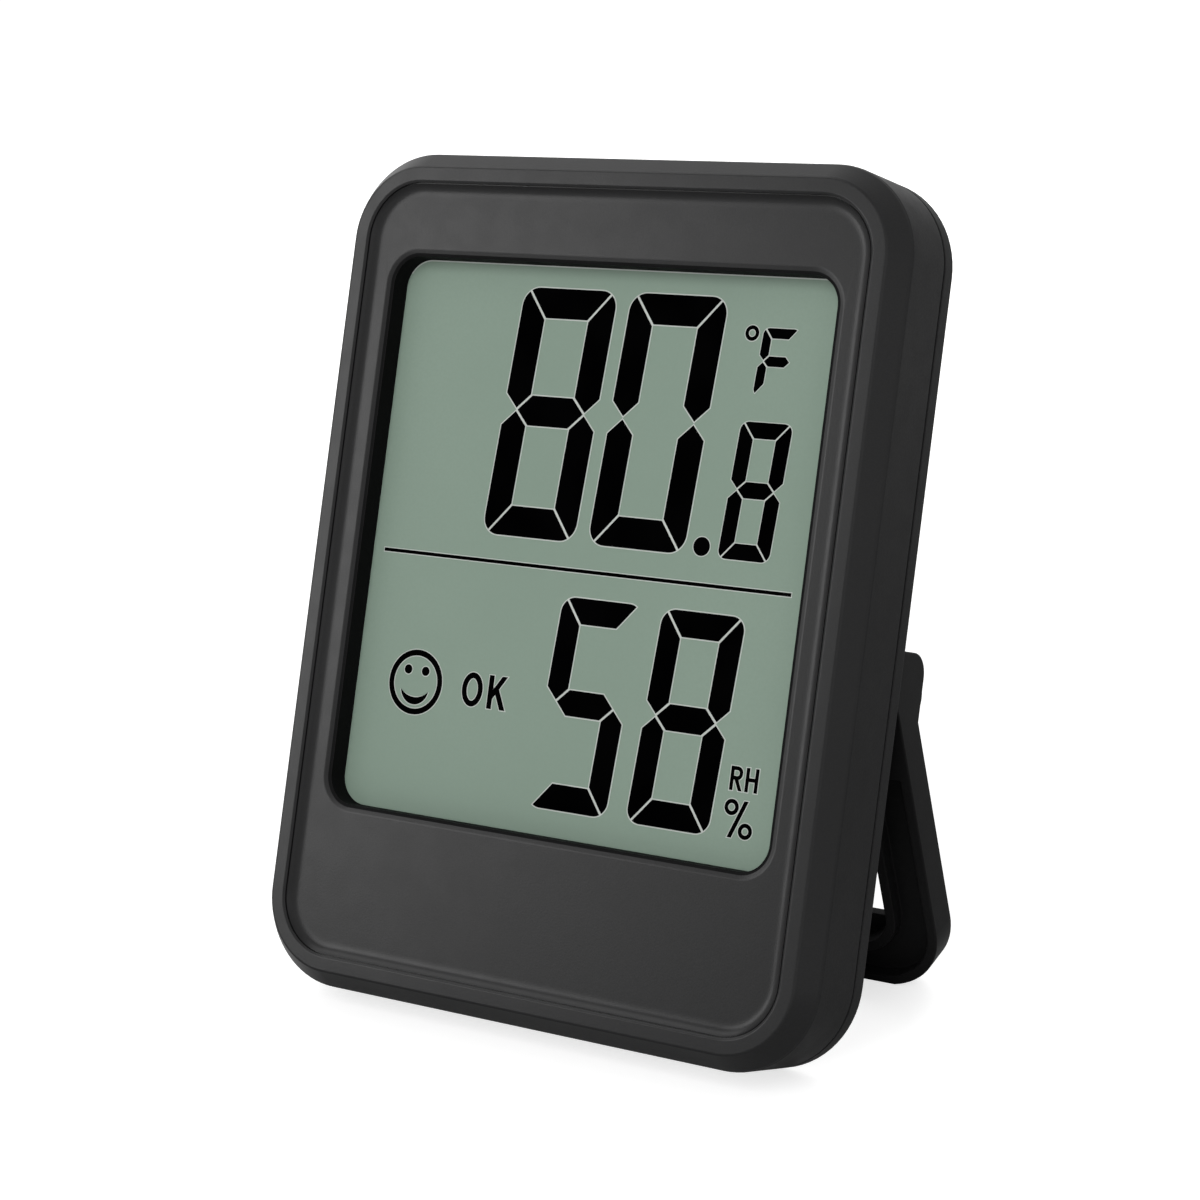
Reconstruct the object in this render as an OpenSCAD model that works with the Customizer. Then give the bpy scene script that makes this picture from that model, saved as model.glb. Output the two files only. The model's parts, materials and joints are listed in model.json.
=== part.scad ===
// Desk thermometer and hygrometer with a fold-out loop stand.
// Standing pose: front towards -Y, +Z up, resting on the rear bottom edge and on the stand's foot.
// Inside the modules the body is upright: x to the right, y backwards from the front rim plane,
// z up from mid height.

/* [Body] */
// Overall width
body_w = 60; // [50:0.5:80]
// Overall height, measured along the body
body_h = 79.4; // [68:0.2:100]
// Depth from the front rim to the back
body_d = 10.1; // [9.9:0.1:13]
// Corner radius of the outline
corner_r = 8.5; // [7:0.1:11]
// Sideways size of the front bevel
bevel_side = 1.55; // [0.8:0.05:2.2]
// Depth of the front bevel
bevel_depth = 2.0; // [1.2:0.1:2.6]
// Side wall thickness
wall = 1.8; // [1.4:0.1:2.2]
// Width of the flat raised rim
rim_w = 1.3; // [0.8:0.1:2]
// Depth of the recessed panel behind the rim
panel_depth = 0.7; // [0.4:0.05:1]
// Width of the soft cove between rim and panel
cove_w = 1.5; // [0.8:0.1:1.6]
// Depth of the seam between front case and rear cover
seam_depth = 8.0; // [7.8:0.1:9]
// Width of the seam groove
seam_w = 0.3; // [0.1:0.05:0.5]

/* [Display] */
// Window width on the panel
window_w = 49.2; // [40:0.2:51]
// Window height on the panel
window_h = 53.5; // [40:0.5:56]
// Window centre above mid height
window_z = 3.7; // [2:0.1:6]
// Window corner radius on the panel
window_r = 3.4; // [1.5:0.1:6]
// Sideways size of the window bevel
window_bevel = 0.7; // [0.2:0.1:1]
// Depth of the window bevel
window_bevel_depth = 0.2; // [0.1:0.05:0.4]
// Depth of the display face
lcd_depth = 3.04; // [2.6:0.02:3.1]
// Thickness of one display glass
glass_t = 0.7; // [0.5:0.05:0.75]

/* [Stand] */
// Overall width of the stand
stand_w = 59; // [52:0.5:60]
// Length of the legs from the bend to the foot
leg_len = 30.5; // [26:0.5:34]
// Leg thickness
leg_t = 3.2; // [2.4:0.1:3.6]
// Leg width
leg_w = 5.1; // [4:0.1:6]
// Height of the bar at the foot
bar_h = 4.5; // [3.5:0.1:6]
// Outer corner radius of the loop
loop_r = 7; // [5:0.5:9]
// Angle between the open legs and the back
open_angle = 33.6; // [25:0.2:40]
// Hinge pin diameter
pin_d = 2.0; // [1.6:0.1:2.4]
// Radial running clearance of the hinge
pin_fit = 0.05; // [0.02:0.01:0.1]

/* [Cell and back] */
// Coin cell diameter
cell_d = 20; // [16:1:20]
// Coin cell thickness
cell_t = 3.2; // [2:0.1:3.2]
// Cell centre below mid height
cell_z = 18; // [17:0.5:19]
// Battery door diameter
door_d = 25; // [25:0.1:26]
// Radius of the hanging hole
hang_r = 3.6; // [3:0.1:4]
// Width of the hanging slot
hang_slot = 3.4; // [2.8:0.1:3.8]
// Unit button diameter
button_d = 5; // [4:0.2:6]

/* [Hidden] */
$fn = 64;
gap = 0.1;
eps = 0.01;
rear_t = 1.6;
back_in = body_d - rear_t;
in_w = body_w - 2 * wall;
in_h = body_h - 2 * wall;
in_r = corner_r - wall;
rim_in = bevel_side + rim_w;
rim_edge = 0.2;
rim_edge_depth = 0.12;
rim_groove = 0.12;
cove_in = rim_in + rim_edge;
cove_w_in = body_w - 2 * cove_in;
cove_h_in = body_h - 2 * cove_in;
cove_r_in = corner_r - cove_in;
cove_rise = panel_depth - 0.02;
cove_arc = (cove_w * cove_w + cove_rise * cove_rise) / (2 * cove_rise);

// Display stack, front to back
polariser_t = 0.2;
reflector_t = 0.3;
glass1_y = lcd_depth + polariser_t;
glass2_y = glass1_y + glass_t;
reflector_y = glass2_y + glass_t;
lcd_back = reflector_y + reflector_t;
window_in_w = window_w - 2 * window_bevel;
window_in_h = window_h - 2 * window_bevel;
window_up = window_z + window_in_h / 2;
window_down = window_z - window_in_h / 2;
rib_t = 1;
rib_l = 6;
rib_x = 11;
rib_up = 12.3;
rib_down = 15.7;
rib_y = glass2_y + 0.4;

// Room between the window and the walls; what lies there spreads out with it
side_room = 8.6;
low_room = 15.55;
side_spread = (in_w - window_in_w) / side_room;
low_spread = (in_h / 2 + window_down) / low_room;
glass_over = 1.4;
film_wider = 0.8;
glass_ledge = 1.7;
glass_side = glass_over * side_spread;
film_side = film_wider * side_spread;
glass_w = window_in_w + 2 * glass_side;
glass_low = window_down - glass_ledge * low_spread;
film_edge = 0.4;
film_low = glass_low + film_edge;
film_over = 1;
film_high = window_up + film_over;

// Rubber strip, midway between the window and the top of the board
zebra_h = 2.0;
zebra_gap = 0.4;
zebra_end = 3;
zebra_shift = 0.125;
board_top = 4.1;
board_high = body_h / 2 - board_top;
zebra_low = (window_up + board_high - zebra_h) / 2 - zebra_shift;
zebra_high = zebra_low + zebra_h;
glass_high = zebra_high + zebra_gap;
glass2_high = zebra_low - zebra_gap;
cushion_w = 3;
cushion_in = 2;
cushion_down = 8.05;
cushion_up = 3.15;
cushion_low = glass_low + cushion_down;
cushion_high = glass2_high - cushion_up;

// Board
board_t = 0.8;
cushion_t = 1.06;
board_y = lcd_back + cushion_t;
board_back = board_y + board_t;
board_side = 4.5;
board_w = body_w - 2 * board_side;
case_boss_r = 2.4;
board_boss_r = 2.1;
board_screw_side = 9.5;
board_screw_x = body_w / 2 - board_screw_side;
board_screw_down = 6.15;
board_screw_z = window_down - board_screw_down * low_spread;
case_screw_side = 6.5;
case_screw_x = body_w / 2 - case_screw_side;
case_screw_down = 11.95;
case_screw_z = window_down - case_screw_down * low_spread;
board_gap = 0.4;
board_low = case_screw_z + case_boss_r + board_gap;
boss_meet = board_back + 0.2;
case_shank_r = 0.9;
case_head_r = 1.8;
case_head_t = 1.1;
board_shank_r = 0.75;
board_head_r = 1.6;
board_head_t = 0.9;
screw_sink = 1.6;
screw_end = 0.5;
zebra_w = glass_w - 2 * zebra_end;
hook_side = 10;
hook_x = body_w / 2 - hook_side;
hook_w = 4;
hook_t = 0.8;

// Lip and tabs of the rear cover
lip_w = in_w - 2 * gap;
lip_hgt = in_h - 2 * gap;
seam_in = 0.5;
tab_x = 10;
tab_w = 8;
tab_t = 0.6;
tab_reach = 0.5;

// Cell, well and door, all round the cell's centre
coin_l = 14;
coin_w = 1.9;
coin_deep = 0.5;
cell_r = cell_d / 2;
door_r = door_d / 2;
door_t = 0.95;
door_sunk = 0.1;
cell_gap = 0.25;
door_y = body_d - door_t - door_sunk;
door_face = body_d - door_sunk;
cell_back = door_y - cell_gap;
cell_front = cell_back - cell_t;
recess_r = door_r + gap;
ledge_y = door_y - 0.05;
ledge_t = 0.7;
ledge_w = 0.9;
ledge_r = door_r - ledge_w;
neck_t = 1.2;
neck_r = ledge_r - gap;
neck_in = neck_r - neck_t;
tab_r = door_r - 0.2;
lock_t = 0.7;
tab_low = ledge_y - ledge_t - gap - lock_t;
tab_half = 12;
tab_turn = 40;
well_wall = 1;
well_r = recess_r + well_wall;
well_low = max(lcd_back + 0.3, cell_front - 0.2);
well_step = tab_low - 0.3;
contact_t = 0.2;
contact_w = 4;
contact_l = 8;
contact_foot = 0.5;
contact_end = 2;
pad_l = 4.6;

// Hanging pocket
hang_down = 22.7;
hang_z = body_h / 2 - hang_down;
slot_l = 5.5;
hang_top = hang_z + slot_l;
pocket_deep = 2.3;
pocket_in = back_in - pocket_deep;
pocket_wall = 0.8;
pocket_floor = 0.6;
pocket_side = 0.8;
pocket_w = 2 * (hang_r + pocket_side);

// Parts on the board, round the middle of the room between the cell and the hanging pocket
blob_z = (hang_z - hang_r - cell_z + well_r) / 2 - 0.5;
blob_ball = 9;
blob_t = 1.2;
crystal_x = 9;
crystal_r = 0.75;
crystal_l = 5;
crystal_z = blob_z - 2;
chip_l = 1.6;
chip_w = 0.8;
chip_t = 0.45;
chip_places = [[-9, 2, 90], [-9, -1, 90], [-12, 4, 0], [-12, 1, 0], [-15, -2, 90],
    [14, 3, 0], [14, 6, 0], [17, 0, 90], [20, 11, 0], [-20, 8, 90]];

// Button and vents
vent_side = 13;
vent_down = 17.7;
vent_x = body_w / 2 - vent_side;
vent_z = body_h / 2 - vent_down;
vent_n = 5;
vent_l = 10;
vent_w = 1.1;
vent_step = 2.2;
button_x = -vent_x;
button_z = vent_z;
dish_r = 10;
dish_depth = 0.2;
button_out = 0.3;
button_press = 0.5;
flange_r = button_d / 2 + 0.7;
flange_y = back_in - 0.1 - 0.45;
switch_top = flange_y - button_press - 0.05;

// Stand, drawn open
stand_gap = 0.3;
bend_out = 1.0;
bend_up = 32.4;
pin_out = 2.7;
bend_y = body_d + bend_out;
bend_z = -body_h / 2 + bend_up;
pin_y = body_d + pin_out;
knuckle_r = pin_y - body_d - stand_gap;
knuckle_swell = 0.08;
arm_len = 6;
pin_z = bend_z + (knuckle_r - (pin_y - bend_y) * cos(open_angle)) / sin(open_angle);
heel_gap = 0.15;
heel_deep = 4.1;
heel_rise = 5.7;
heel_front = body_d + heel_gap;
heel_back = bend_y + heel_deep;
heel_top = bend_z + heel_rise;
heel_r = 2.2;
arm_in = stand_w / 2 - leg_w;
lug_out = arm_in - 0.3;
lug_w = 3.4;
pin_r = pin_d / 2;
pin_grip = 2.8;
pin_reach = 3;
hole_r = 3.5;
channel_wall = 1.0;
channel_deep = 1.4;
lip_h = 1.9;
lip_t = 1.0;

// Rest on a table
rest_cut = 0.2;
foot_y = bend_y + leg_len * sin(open_angle);
foot_z = bend_z - leg_len * cos(open_angle);
tilt = atan2(foot_z + body_h / 2, foot_y - body_d);
floor_z = -body_d * sin(tilt) - body_h / 2 * cos(tilt) + rest_cut;
front_y = -(body_h / 2 - bevel_side) * sin(tilt);
back_edge = 0.3;
top_y = body_d * cos(tilt) + (body_h / 2 - back_edge) * sin(tilt);

// Shared shapes

// Carries the upright body to the standing pose
module standing() {
    translate([0, -(front_y + top_y) / 2, -floor_z])
        rotate([-tilt, 0, 0])
            children();
}

// Flat shape drawn in x and z, drawn out from depth y0 to y1
module plate(y0, y1) {
    translate([0, y1, 0])
        rotate([90, 0, 0])
            linear_extrude(height = y1 - y0)
                children();
}

module round_rect(w, h, r) {
    square([w - 2 * r, h], center = true);
    square([w, h - 2 * r], center = true);
    for (sx = [-1, 1], sz = [-1, 1])
        translate([sx * (w / 2 - r), sz * (h / 2 - r)])
            circle(r);
}

module slab(w, h, r, y0, y1) {
    plate(y0, y1)
        round_rect(w, h, r);
}

// Rounded slab whose outline shrinks by a on every side from depth y1 to depth y0
module bevel_slab(w, h, r, a, y0, y1) {
    translate([-(w / 2 - r), 0, 0])
        rotate([90, 0, 90])
            linear_extrude(height = w - 2 * r)
                polygon([[y0, -h / 2 + a], [y1, -h / 2], [y1, h / 2], [y0, h / 2 - a]]);
    translate([0, 0, -(h / 2 - r)])
        linear_extrude(height = h - 2 * r)
            polygon([[-w / 2 + a, y0], [-w / 2, y1], [w / 2, y1], [w / 2 - a, y0]]);
    for (sx = [-1, 1], sz = [-1, 1])
        translate([sx * (w / 2 - r), y0, sz * (h / 2 - r)])
            rotate([-90, 0, 0])
                cylinder(h = y1 - y0, r1 = r - a, r2 = r);
}

// Cylinder along the depth
module rod(x, z, r, y0, y1) {
    translate([x, y0, z])
        rotate([-90, 0, 0])
            cylinder(h = y1 - y0, r = r);
}

module block(x0, x1, y0, y1, z0, z1) {
    translate([x0, y0, z0])
        cube([x1 - x0, y1 - y0, z1 - z0]);
}

// Cove section: u inwards from the rim, y depth
module cove_section() {
    difference() {
        translate([rim_groove, 0])
            square([cove_w - rim_groove, panel_depth + 0.2]);
        translate([cove_w, panel_depth - cove_arc])
            circle(cove_arc);
    }
}

// Soft cove round the foot of the rim
module cove_ring() {
    side_w = cove_w_in - 2 * cove_r_in;
    side_h = cove_h_in - 2 * cove_r_in;
    for (s = [0, 1]) {
        mirror([s, 0, 0])
            translate([-cove_w_in / 2, 0, -side_h / 2])
                linear_extrude(height = side_h)
                    cove_section();
        mirror([0, 0, s])
            translate([-side_w / 2, 0, -cove_h_in / 2])
                rotate([0, 90, 0])
                    linear_extrude(height = side_w)
                        mirror([1, 0])
                            cove_section();
    }
    for (sx = [0, 1], sz = [0, 1])
        mirror([sx, 0, 0])
            mirror([0, 0, sz])
                translate([side_w / 2, 0, side_h / 2])
                    rotate([-90, 0, 0])
                        rotate([0, 0, -90])
                            rotate_extrude(angle = 90)
                                translate([cove_r_in, 0])
                                    mirror([1, 0])
                                        cove_section();
}

// Part of space under the table, in body coordinates
module under_table() {
    translate([0, body_d, -body_h / 2])
        rotate([tilt, 0, 0])
            translate([-body_w, -body_h, rest_cut - body_h])
                cube([2 * body_w, 2 * body_h, body_h]);
}

// Screw along the depth: pan head behind, shank forwards
module screw(x, z, head_y, head_r, head_t, shank_r, tip_y) {
    difference() {
        union() {
            rod(x, z, head_r, head_y, head_y + head_t);
            rod(x, z, shank_r, tip_y + shank_r, head_y + eps);
            translate([x, tip_y, z])
                rotate([-90, 0, 0])
                    cylinder(h = shank_r + eps, r1 = 0.2, r2 = shank_r);
        }
        for (turn = [0, 90])
            translate([x, head_y + head_t, z])
                rotate([0, turn, 0])
                    cube([head_r * 1.2, head_t, head_r * 0.28], center = true);
    }
}

// Front shell

// Bevelled shell with the rim, the cove, the panel and the window cut into it
module front_shell() {
    difference() {
        union() {
            bevel_slab(body_w, body_h, corner_r, bevel_side, 0, bevel_depth);
            slab(body_w, body_h, corner_r, bevel_depth, seam_depth);
        }
        slab(in_w, in_h, in_r, lcd_depth, seam_depth + 1);
        slab(cove_w_in, cove_h_in, cove_r_in, -1, panel_depth);
        mirror([0, 1, 0])
            translate([0, -rim_edge_depth, 0])
                bevel_slab(cove_w_in + 2 * rim_edge, cove_h_in + 2 * rim_edge, cove_r_in + rim_edge,
                    rim_edge, 0, rim_edge_depth);
        translate([0, 0, window_z]) {
            slab(window_in_w, window_in_h, window_r - window_bevel, -1, lcd_depth + 1);
            mirror([0, 1, 0])
                translate([0, -panel_depth - window_bevel_depth, 0])
                    bevel_slab(window_w, window_h, window_r, window_bevel, 0, window_bevel_depth);
        }
        // Slots for the rear cover's tabs
        for (sx = [-1, 1])
            translate([sx * tab_x, 0, 0])
                block(-tab_w / 2 - gap, tab_w / 2 + gap, boss_meet - gap, boss_meet + tab_t + gap,
                    in_h / 2 - 0.5, in_h / 2 + tab_reach + gap);
    }
}

module front_case() {
    color([0.09, 0.09, 0.095])
    standing()
    difference() {
        union() {
            front_shell();
            cove_ring();
            for (sx = [0, 1])
                mirror([sx, 0, 0]) {
                    // Ribs that hold the display glass
                    for (z = [window_z - rib_down, window_z + rib_up])
                        block(glass_w / 2 + gap, glass_w / 2 + gap + rib_t, lcd_depth - eps, rib_y,
                            z - rib_l / 2, z + rib_l / 2);
                    block(rib_x - rib_l / 2, rib_x + rib_l / 2, lcd_depth - eps, rib_y,
                        glass_low - gap - rib_t, glass_low - gap);
                    // Hooks over the top edge of the board
                    block(hook_x - hook_w / 2, hook_x + hook_w / 2, board_back, board_back + hook_t,
                        board_high - 0.7, in_h / 2 + 0.2);
                    block(hook_x - hook_w / 2, hook_x + hook_w / 2, board_y - 0.6, board_back + hook_t,
                        board_high + gap, in_h / 2 + 0.2);
                    // Bosses for the screws
                    rod(board_screw_x, board_screw_z, board_boss_r, lcd_depth - eps, board_y);
                    rod(case_screw_x, case_screw_z, case_boss_r, lcd_depth - eps, boss_meet);
                    block(case_screw_x, in_w / 2, lcd_depth - eps, boss_meet - 1,
                        case_screw_z - 0.5, case_screw_z + 0.5);
                }
        }
        for (sx = [-1, 1]) {
            rod(sx * board_screw_x, board_screw_z, board_shank_r + 0.05, lcd_depth + 0.4, board_y + 1);
            rod(sx * case_screw_x, case_screw_z, case_shank_r + 0.05, lcd_depth + 0.4, boss_meet + 1);
        }
    }
}

// Rear shell

// Hanging hole with its slot going up
module keyhole(r, slot_w, y0, y1) {
    plate(y0, y1) {
        translate([0, hang_z])
            circle(r);
        translate([-slot_w / 2, hang_z])
            square([slot_w, hang_top - hang_z]);
        translate([0, hang_top])
            circle(slot_w / 2);
    }
}

module hinge_lug() {
    block(lug_out - lug_w, lug_out, body_d - eps, pin_y, pin_z - knuckle_r, pin_z + knuckle_r);
    translate([lug_out - lug_w, pin_y, pin_z])
        rotate([0, 90, 0])
            cylinder(h = lug_w, r = knuckle_r);
}

// Rear plate with its edge band, lip and tabs
module rear_shell() {
    difference() {
        union() {
            slab(body_w, body_h, corner_r, seam_depth + seam_w, body_d - back_edge);
            mirror([0, 1, 0])
                translate([0, -body_d, 0])
                    bevel_slab(body_w, body_h, corner_r, back_edge, 0, back_edge);
            slab(body_w - 2 * seam_in, body_h - 2 * seam_in, corner_r - seam_in,
                seam_depth, seam_depth + seam_w);
            slab(lip_w, lip_hgt, in_r - gap, boss_meet, seam_depth);
            for (sx = [-1, 1])
                translate([sx * tab_x, 0, 0])
                    block(-tab_w / 2, tab_w / 2, boss_meet, boss_meet + tab_t,
                        in_h / 2 - 1, in_h / 2 + tab_reach);
        }
        slab(lip_w - 2, lip_hgt - 2, in_r - gap - 1, boss_meet - 1, back_in);
        // Notches in the lip for the board hooks
        for (sx = [-1, 1])
            translate([sx * hook_x, 0, 0])
                block(-hook_w / 2 - 0.3, hook_w / 2 + 0.3, boss_meet - 1, board_back + hook_t + 0.15,
                    board_high - 1.2, in_h / 2 + 0.2);
    }
}

// Outer box of the hanging pocket, grown by e on each side
module pocket_box(e, y0, y1) {
    block(-pocket_w / 2 - e, pocket_w / 2 + e, y0, y1,
        hang_z - hang_r - pocket_side - e, hang_top + hang_r + pocket_side + e);
}

module rear_cover() {
    color([0.085, 0.085, 0.09])
    standing()
    difference() {
        union() {
            rear_shell();
            rod(0, -cell_z, well_r, well_low, back_in + eps);
            pocket_box(pocket_wall, pocket_in - pocket_floor, back_in + eps);
            for (sx = [0, 1])
                mirror([sx, 0, 0]) {
                    rod(case_screw_x, case_screw_z, case_boss_r, boss_meet, back_in + eps);
                    hinge_lug();
                }
        }
        // Case screws and hinge pins
        for (sx = [0, 1])
            mirror([sx, 0, 0]) {
                rod(case_screw_x, case_screw_z, case_shank_r + 0.2, boss_meet - 1, body_d + 1);
                rod(case_screw_x, case_screw_z, case_head_r + 0.2, body_d - screw_sink, body_d + 1);
                translate([lug_out - pin_grip, pin_y, pin_z])
                    rotate([0, 90, 0])
                        cylinder(h = lug_w, r = pin_r);
            }
        // Well for the cell and its door
        rod(0, -cell_z, cell_r + 0.25, well_low - 1, well_step + eps);
        rod(0, -cell_z, recess_r, well_step, ledge_y - ledge_t);
        rod(0, -cell_z, ledge_r, ledge_y - ledge_t - eps, body_d);
        rod(0, -cell_z, recess_r, ledge_y, body_d + 1);
        translate([0, 0, -cell_z]) {
            for (turn = [0, 120, 240])
                rotate([0, turn + tab_turn, 0])
                    block(-tab_r * sin(tab_half) - 0.4, tab_r * sin(tab_half) + 0.4,
                        ledge_y - ledge_t - eps, ledge_y + eps, ledge_r - 1, recess_r - 0.05);
            for (sx = [-1, 1])
                translate([sx * (cell_r + 2), 0, 0])
                    block(-3, 3, well_low - 1, well_step - 0.05,
                        -contact_w / 2 - 0.6, contact_w / 2 + 0.6);
        }
        // Hanging slot, its pocket, the vents and the button hole
        keyhole(hang_r, hang_slot, back_in - 1, body_d + 1);
        pocket_box(0, pocket_in, back_in);
        for (i = [0 : vent_n - 1])
            plate(back_in - 1, body_d + 1)
                translate([vent_x, vent_z + (i - (vent_n - 1) / 2) * vent_step])
                    round_rect(vent_l, vent_w, vent_w / 2 - eps);
        rod(button_x, button_z, button_d / 2 + gap, back_in - 1, body_d + 1);
        under_table();
    }
}

// Display

module front_polariser() {
    color([0.51, 0.58, 0.53])
    standing()
    block(-window_in_w / 2 - film_side, window_in_w / 2 + film_side, lcd_depth, glass1_y,
        film_low, film_high);
}

module lcd_front_glass() {
    color([0.75, 0.8, 0.78])
    standing()
    block(-glass_w / 2, glass_w / 2, glass1_y, glass2_y, glass_low, glass_high);
}

module lcd_rear_glass() {
    color([0.7, 0.76, 0.74])
    standing()
    block(-glass_w / 2, glass_w / 2, glass2_y, reflector_y, glass_low, glass2_high);
}

module lcd_reflector() {
    color([0.8, 0.82, 0.8])
    standing()
    block(-window_in_w / 2 - film_side, window_in_w / 2 + film_side, reflector_y, lcd_back,
        film_low, glass2_high - film_edge);
}

module zebra_connector() {
    color([0.35, 0.35, 0.4])
    standing()
    block(-zebra_w / 2, zebra_w / 2, glass2_y, board_y, zebra_low, zebra_high);
}

module lcd_cushion() {
    color([0.2, 0.2, 0.2])
    standing()
    for (sx = [0, 1])
        mirror([sx, 0, 0])
            block(board_w / 2 - cushion_in - cushion_w, board_w / 2 - cushion_in, lcd_back, board_y,
                cushion_low, cushion_high);
}

// Electronics

module circuit_board() {
    color([0.08, 0.3, 0.16])
    standing()
    difference() {
        block(-board_w / 2, board_w / 2, board_y, board_back, board_low, board_high);
        rod(0, -cell_z, well_r + 0.3, board_y - 1, board_back + 1);
        block(-well_r - 0.3, well_r + 0.3, board_y - 1, board_back + 1, board_low - 1, -cell_z);
        pocket_box(pocket_wall + 0.3, board_y - 1, board_back + 1);
        for (sx = [-1, 1])
            rod(sx * board_screw_x, board_screw_z, board_shank_r + 0.2, board_y - 1, board_back + 1);
    }
}

module chip_blob() {
    color([0.03, 0.03, 0.03])
    standing()
    intersection() {
        translate([0, board_back + blob_t - blob_ball, blob_z])
            sphere(blob_ball, $fn = 240);
        block(-blob_ball, blob_ball, board_back, board_back + 2 * blob_t,
            blob_z - blob_ball, blob_z + blob_ball);
    }
}

module chip_components() {
    color([0.45, 0.38, 0.3])
    standing()
    for (place = chip_places)
        translate([place[0], board_back, blob_z + place[1]])
            rotate([0, place[2], 0])
                block(-chip_l / 2, chip_l / 2, 0, chip_t, -chip_w / 2, chip_w / 2);
}

module timing_crystal() {
    color([0.75, 0.75, 0.77])
    standing()
    translate([crystal_x, board_back + crystal_r, crystal_z])
        cylinder(h = crystal_l, r = crystal_r);
}

module humidity_sensor() {
    color([0.9, 0.9, 0.88])
    standing()
    difference() {
        block(vent_x - 1.25, vent_x + 1.25, board_back, board_back + 0.9, vent_z - 1.25, vent_z + 1.25);
        rod(vent_x, vent_z, 0.5, board_back + 0.6, board_back + 1);
    }
}

module tact_switch() {
    color([0.7, 0.7, 0.72])
    standing()
    union() {
        block(button_x - 2, button_x + 2, board_back, board_back + 0.45, button_z - 2, button_z + 2);
        rod(button_x, button_z, 1.1, board_back + 0.45 - eps, switch_top);
        for (sx = [-1, 1], sz = [-1, 1])
            translate([button_x + sx * 2.4, 0, button_z + sz * 1.2])
                block(-0.5, 0.5, board_back, board_back + 0.2, -0.3, 0.3);
    }
}

// Supply

module coin_cell() {
    color([0.78, 0.78, 0.8])
    standing()
    union() {
        rod(0, -cell_z, cell_r - 1.1, cell_front, cell_front + 0.4);
        rod(0, -cell_z, cell_r, cell_front + 0.35, cell_back);
    }
}

module positive_contact() {
    color([0.82, 0.78, 0.6])
    standing()
    union() {
        block(cell_r, cell_r + contact_l, board_back, board_back + contact_t,
            -cell_z - contact_w / 2, -cell_z + contact_w / 2);
        block(cell_r, cell_r + contact_t, board_back - contact_foot, board_back + contact_t,
            -cell_z - contact_w / 2, -cell_z + contact_w / 2);
    }
}

module negative_contact() {
    pad = well_r + 0.8;
    color([0.82, 0.78, 0.6])
    standing()
    translate([0, 0, -cell_z - contact_w / 2])
        linear_extrude(height = contact_w)
            polygon([[-pad - pad_l, board_y], [-pad, board_y], [-cell_r - 1.4, cell_front],
                [-contact_end, cell_front], [-contact_end, cell_front - contact_t],
                [-cell_r - 1.5, cell_front - contact_t],
                [-pad - 0.1, board_y - contact_t], [-pad - pad_l, board_y - contact_t]]);
}

module battery_door() {
    color([0.08, 0.08, 0.085])
    standing()
    difference() {
        union() {
            rod(0, -cell_z, door_r, door_y, door_face);
            rod(0, -cell_z, neck_r, tab_low, door_y + eps);
            translate([0, 0, -cell_z])
                for (turn = [0, 120, 240])
                    rotate([0, turn, 0])
                        intersection() {
                            rod(0, 0, tab_r, tab_low, tab_low + lock_t);
                            block(-tab_r * sin(tab_half), tab_r * sin(tab_half),
                                tab_low, tab_low + lock_t, neck_r - 0.4, door_r);
                        }
        }
        rod(0, -cell_z, neck_in, tab_low - 1, door_y);
        // Coin slot
        plate(door_face - coin_deep, door_face + 1)
            translate([0, -cell_z])
                round_rect(coin_l, coin_w, coin_w / 2 - eps);
    }
}

// Button

module unit_button() {
    color([0.16, 0.16, 0.17])
    standing()
    difference() {
        union() {
            rod(button_x, button_z, button_d / 2, flange_y, body_d + button_out);
            rod(button_x, button_z, flange_r, flange_y, flange_y + 0.45);
        }
        translate([button_x, body_d + button_out - dish_depth + dish_r, button_z])
            sphere(dish_r, $fn = 240);
    }
}

// Screws

module board_screws() {
    color([0.7, 0.7, 0.72])
    standing()
    for (sx = [-1, 1])
        screw(sx * board_screw_x, board_screw_z, board_back, board_head_r, board_head_t, board_shank_r,
            lcd_depth + screw_end);
}

module case_screws() {
    color([0.12, 0.12, 0.13])
    standing()
    for (sx = [-1, 1])
        screw(sx * case_screw_x, case_screw_z, body_d - screw_sink, case_head_r, case_head_t, case_shank_r,
            lcd_depth + screw_end + gap);
}

// Stand

// Loop seen square on, drawn in by e all round; the legs end at height top
module loop(e, top) {
    w = stand_w - 2 * e;
    r = loop_r - e;
    low = -leg_len + e;
    inner = arm_in + e;
    inner_low = -leg_len + bar_h - e;
    inner_r = hole_r + e;
    difference() {
        union() {
            translate([-w / 2, low + r])
                square([w, top - low - r]);
            translate([-w / 2 + r, low])
                square([w - 2 * r, r + 1]);
            for (sx = [-1, 1])
                translate([sx * (w / 2 - r), low + r])
                    circle(r);
        }
        translate([-inner, inner_low + inner_r])
            square([2 * inner, leg_len + 5]);
        translate([-inner + inner_r, inner_low])
            square([2 * (inner - inner_r), leg_len]);
        for (sx = [-1, 1])
            translate([sx * (inner - inner_r), inner_low + inner_r])
                circle(inner_r);
    }
}

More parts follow.
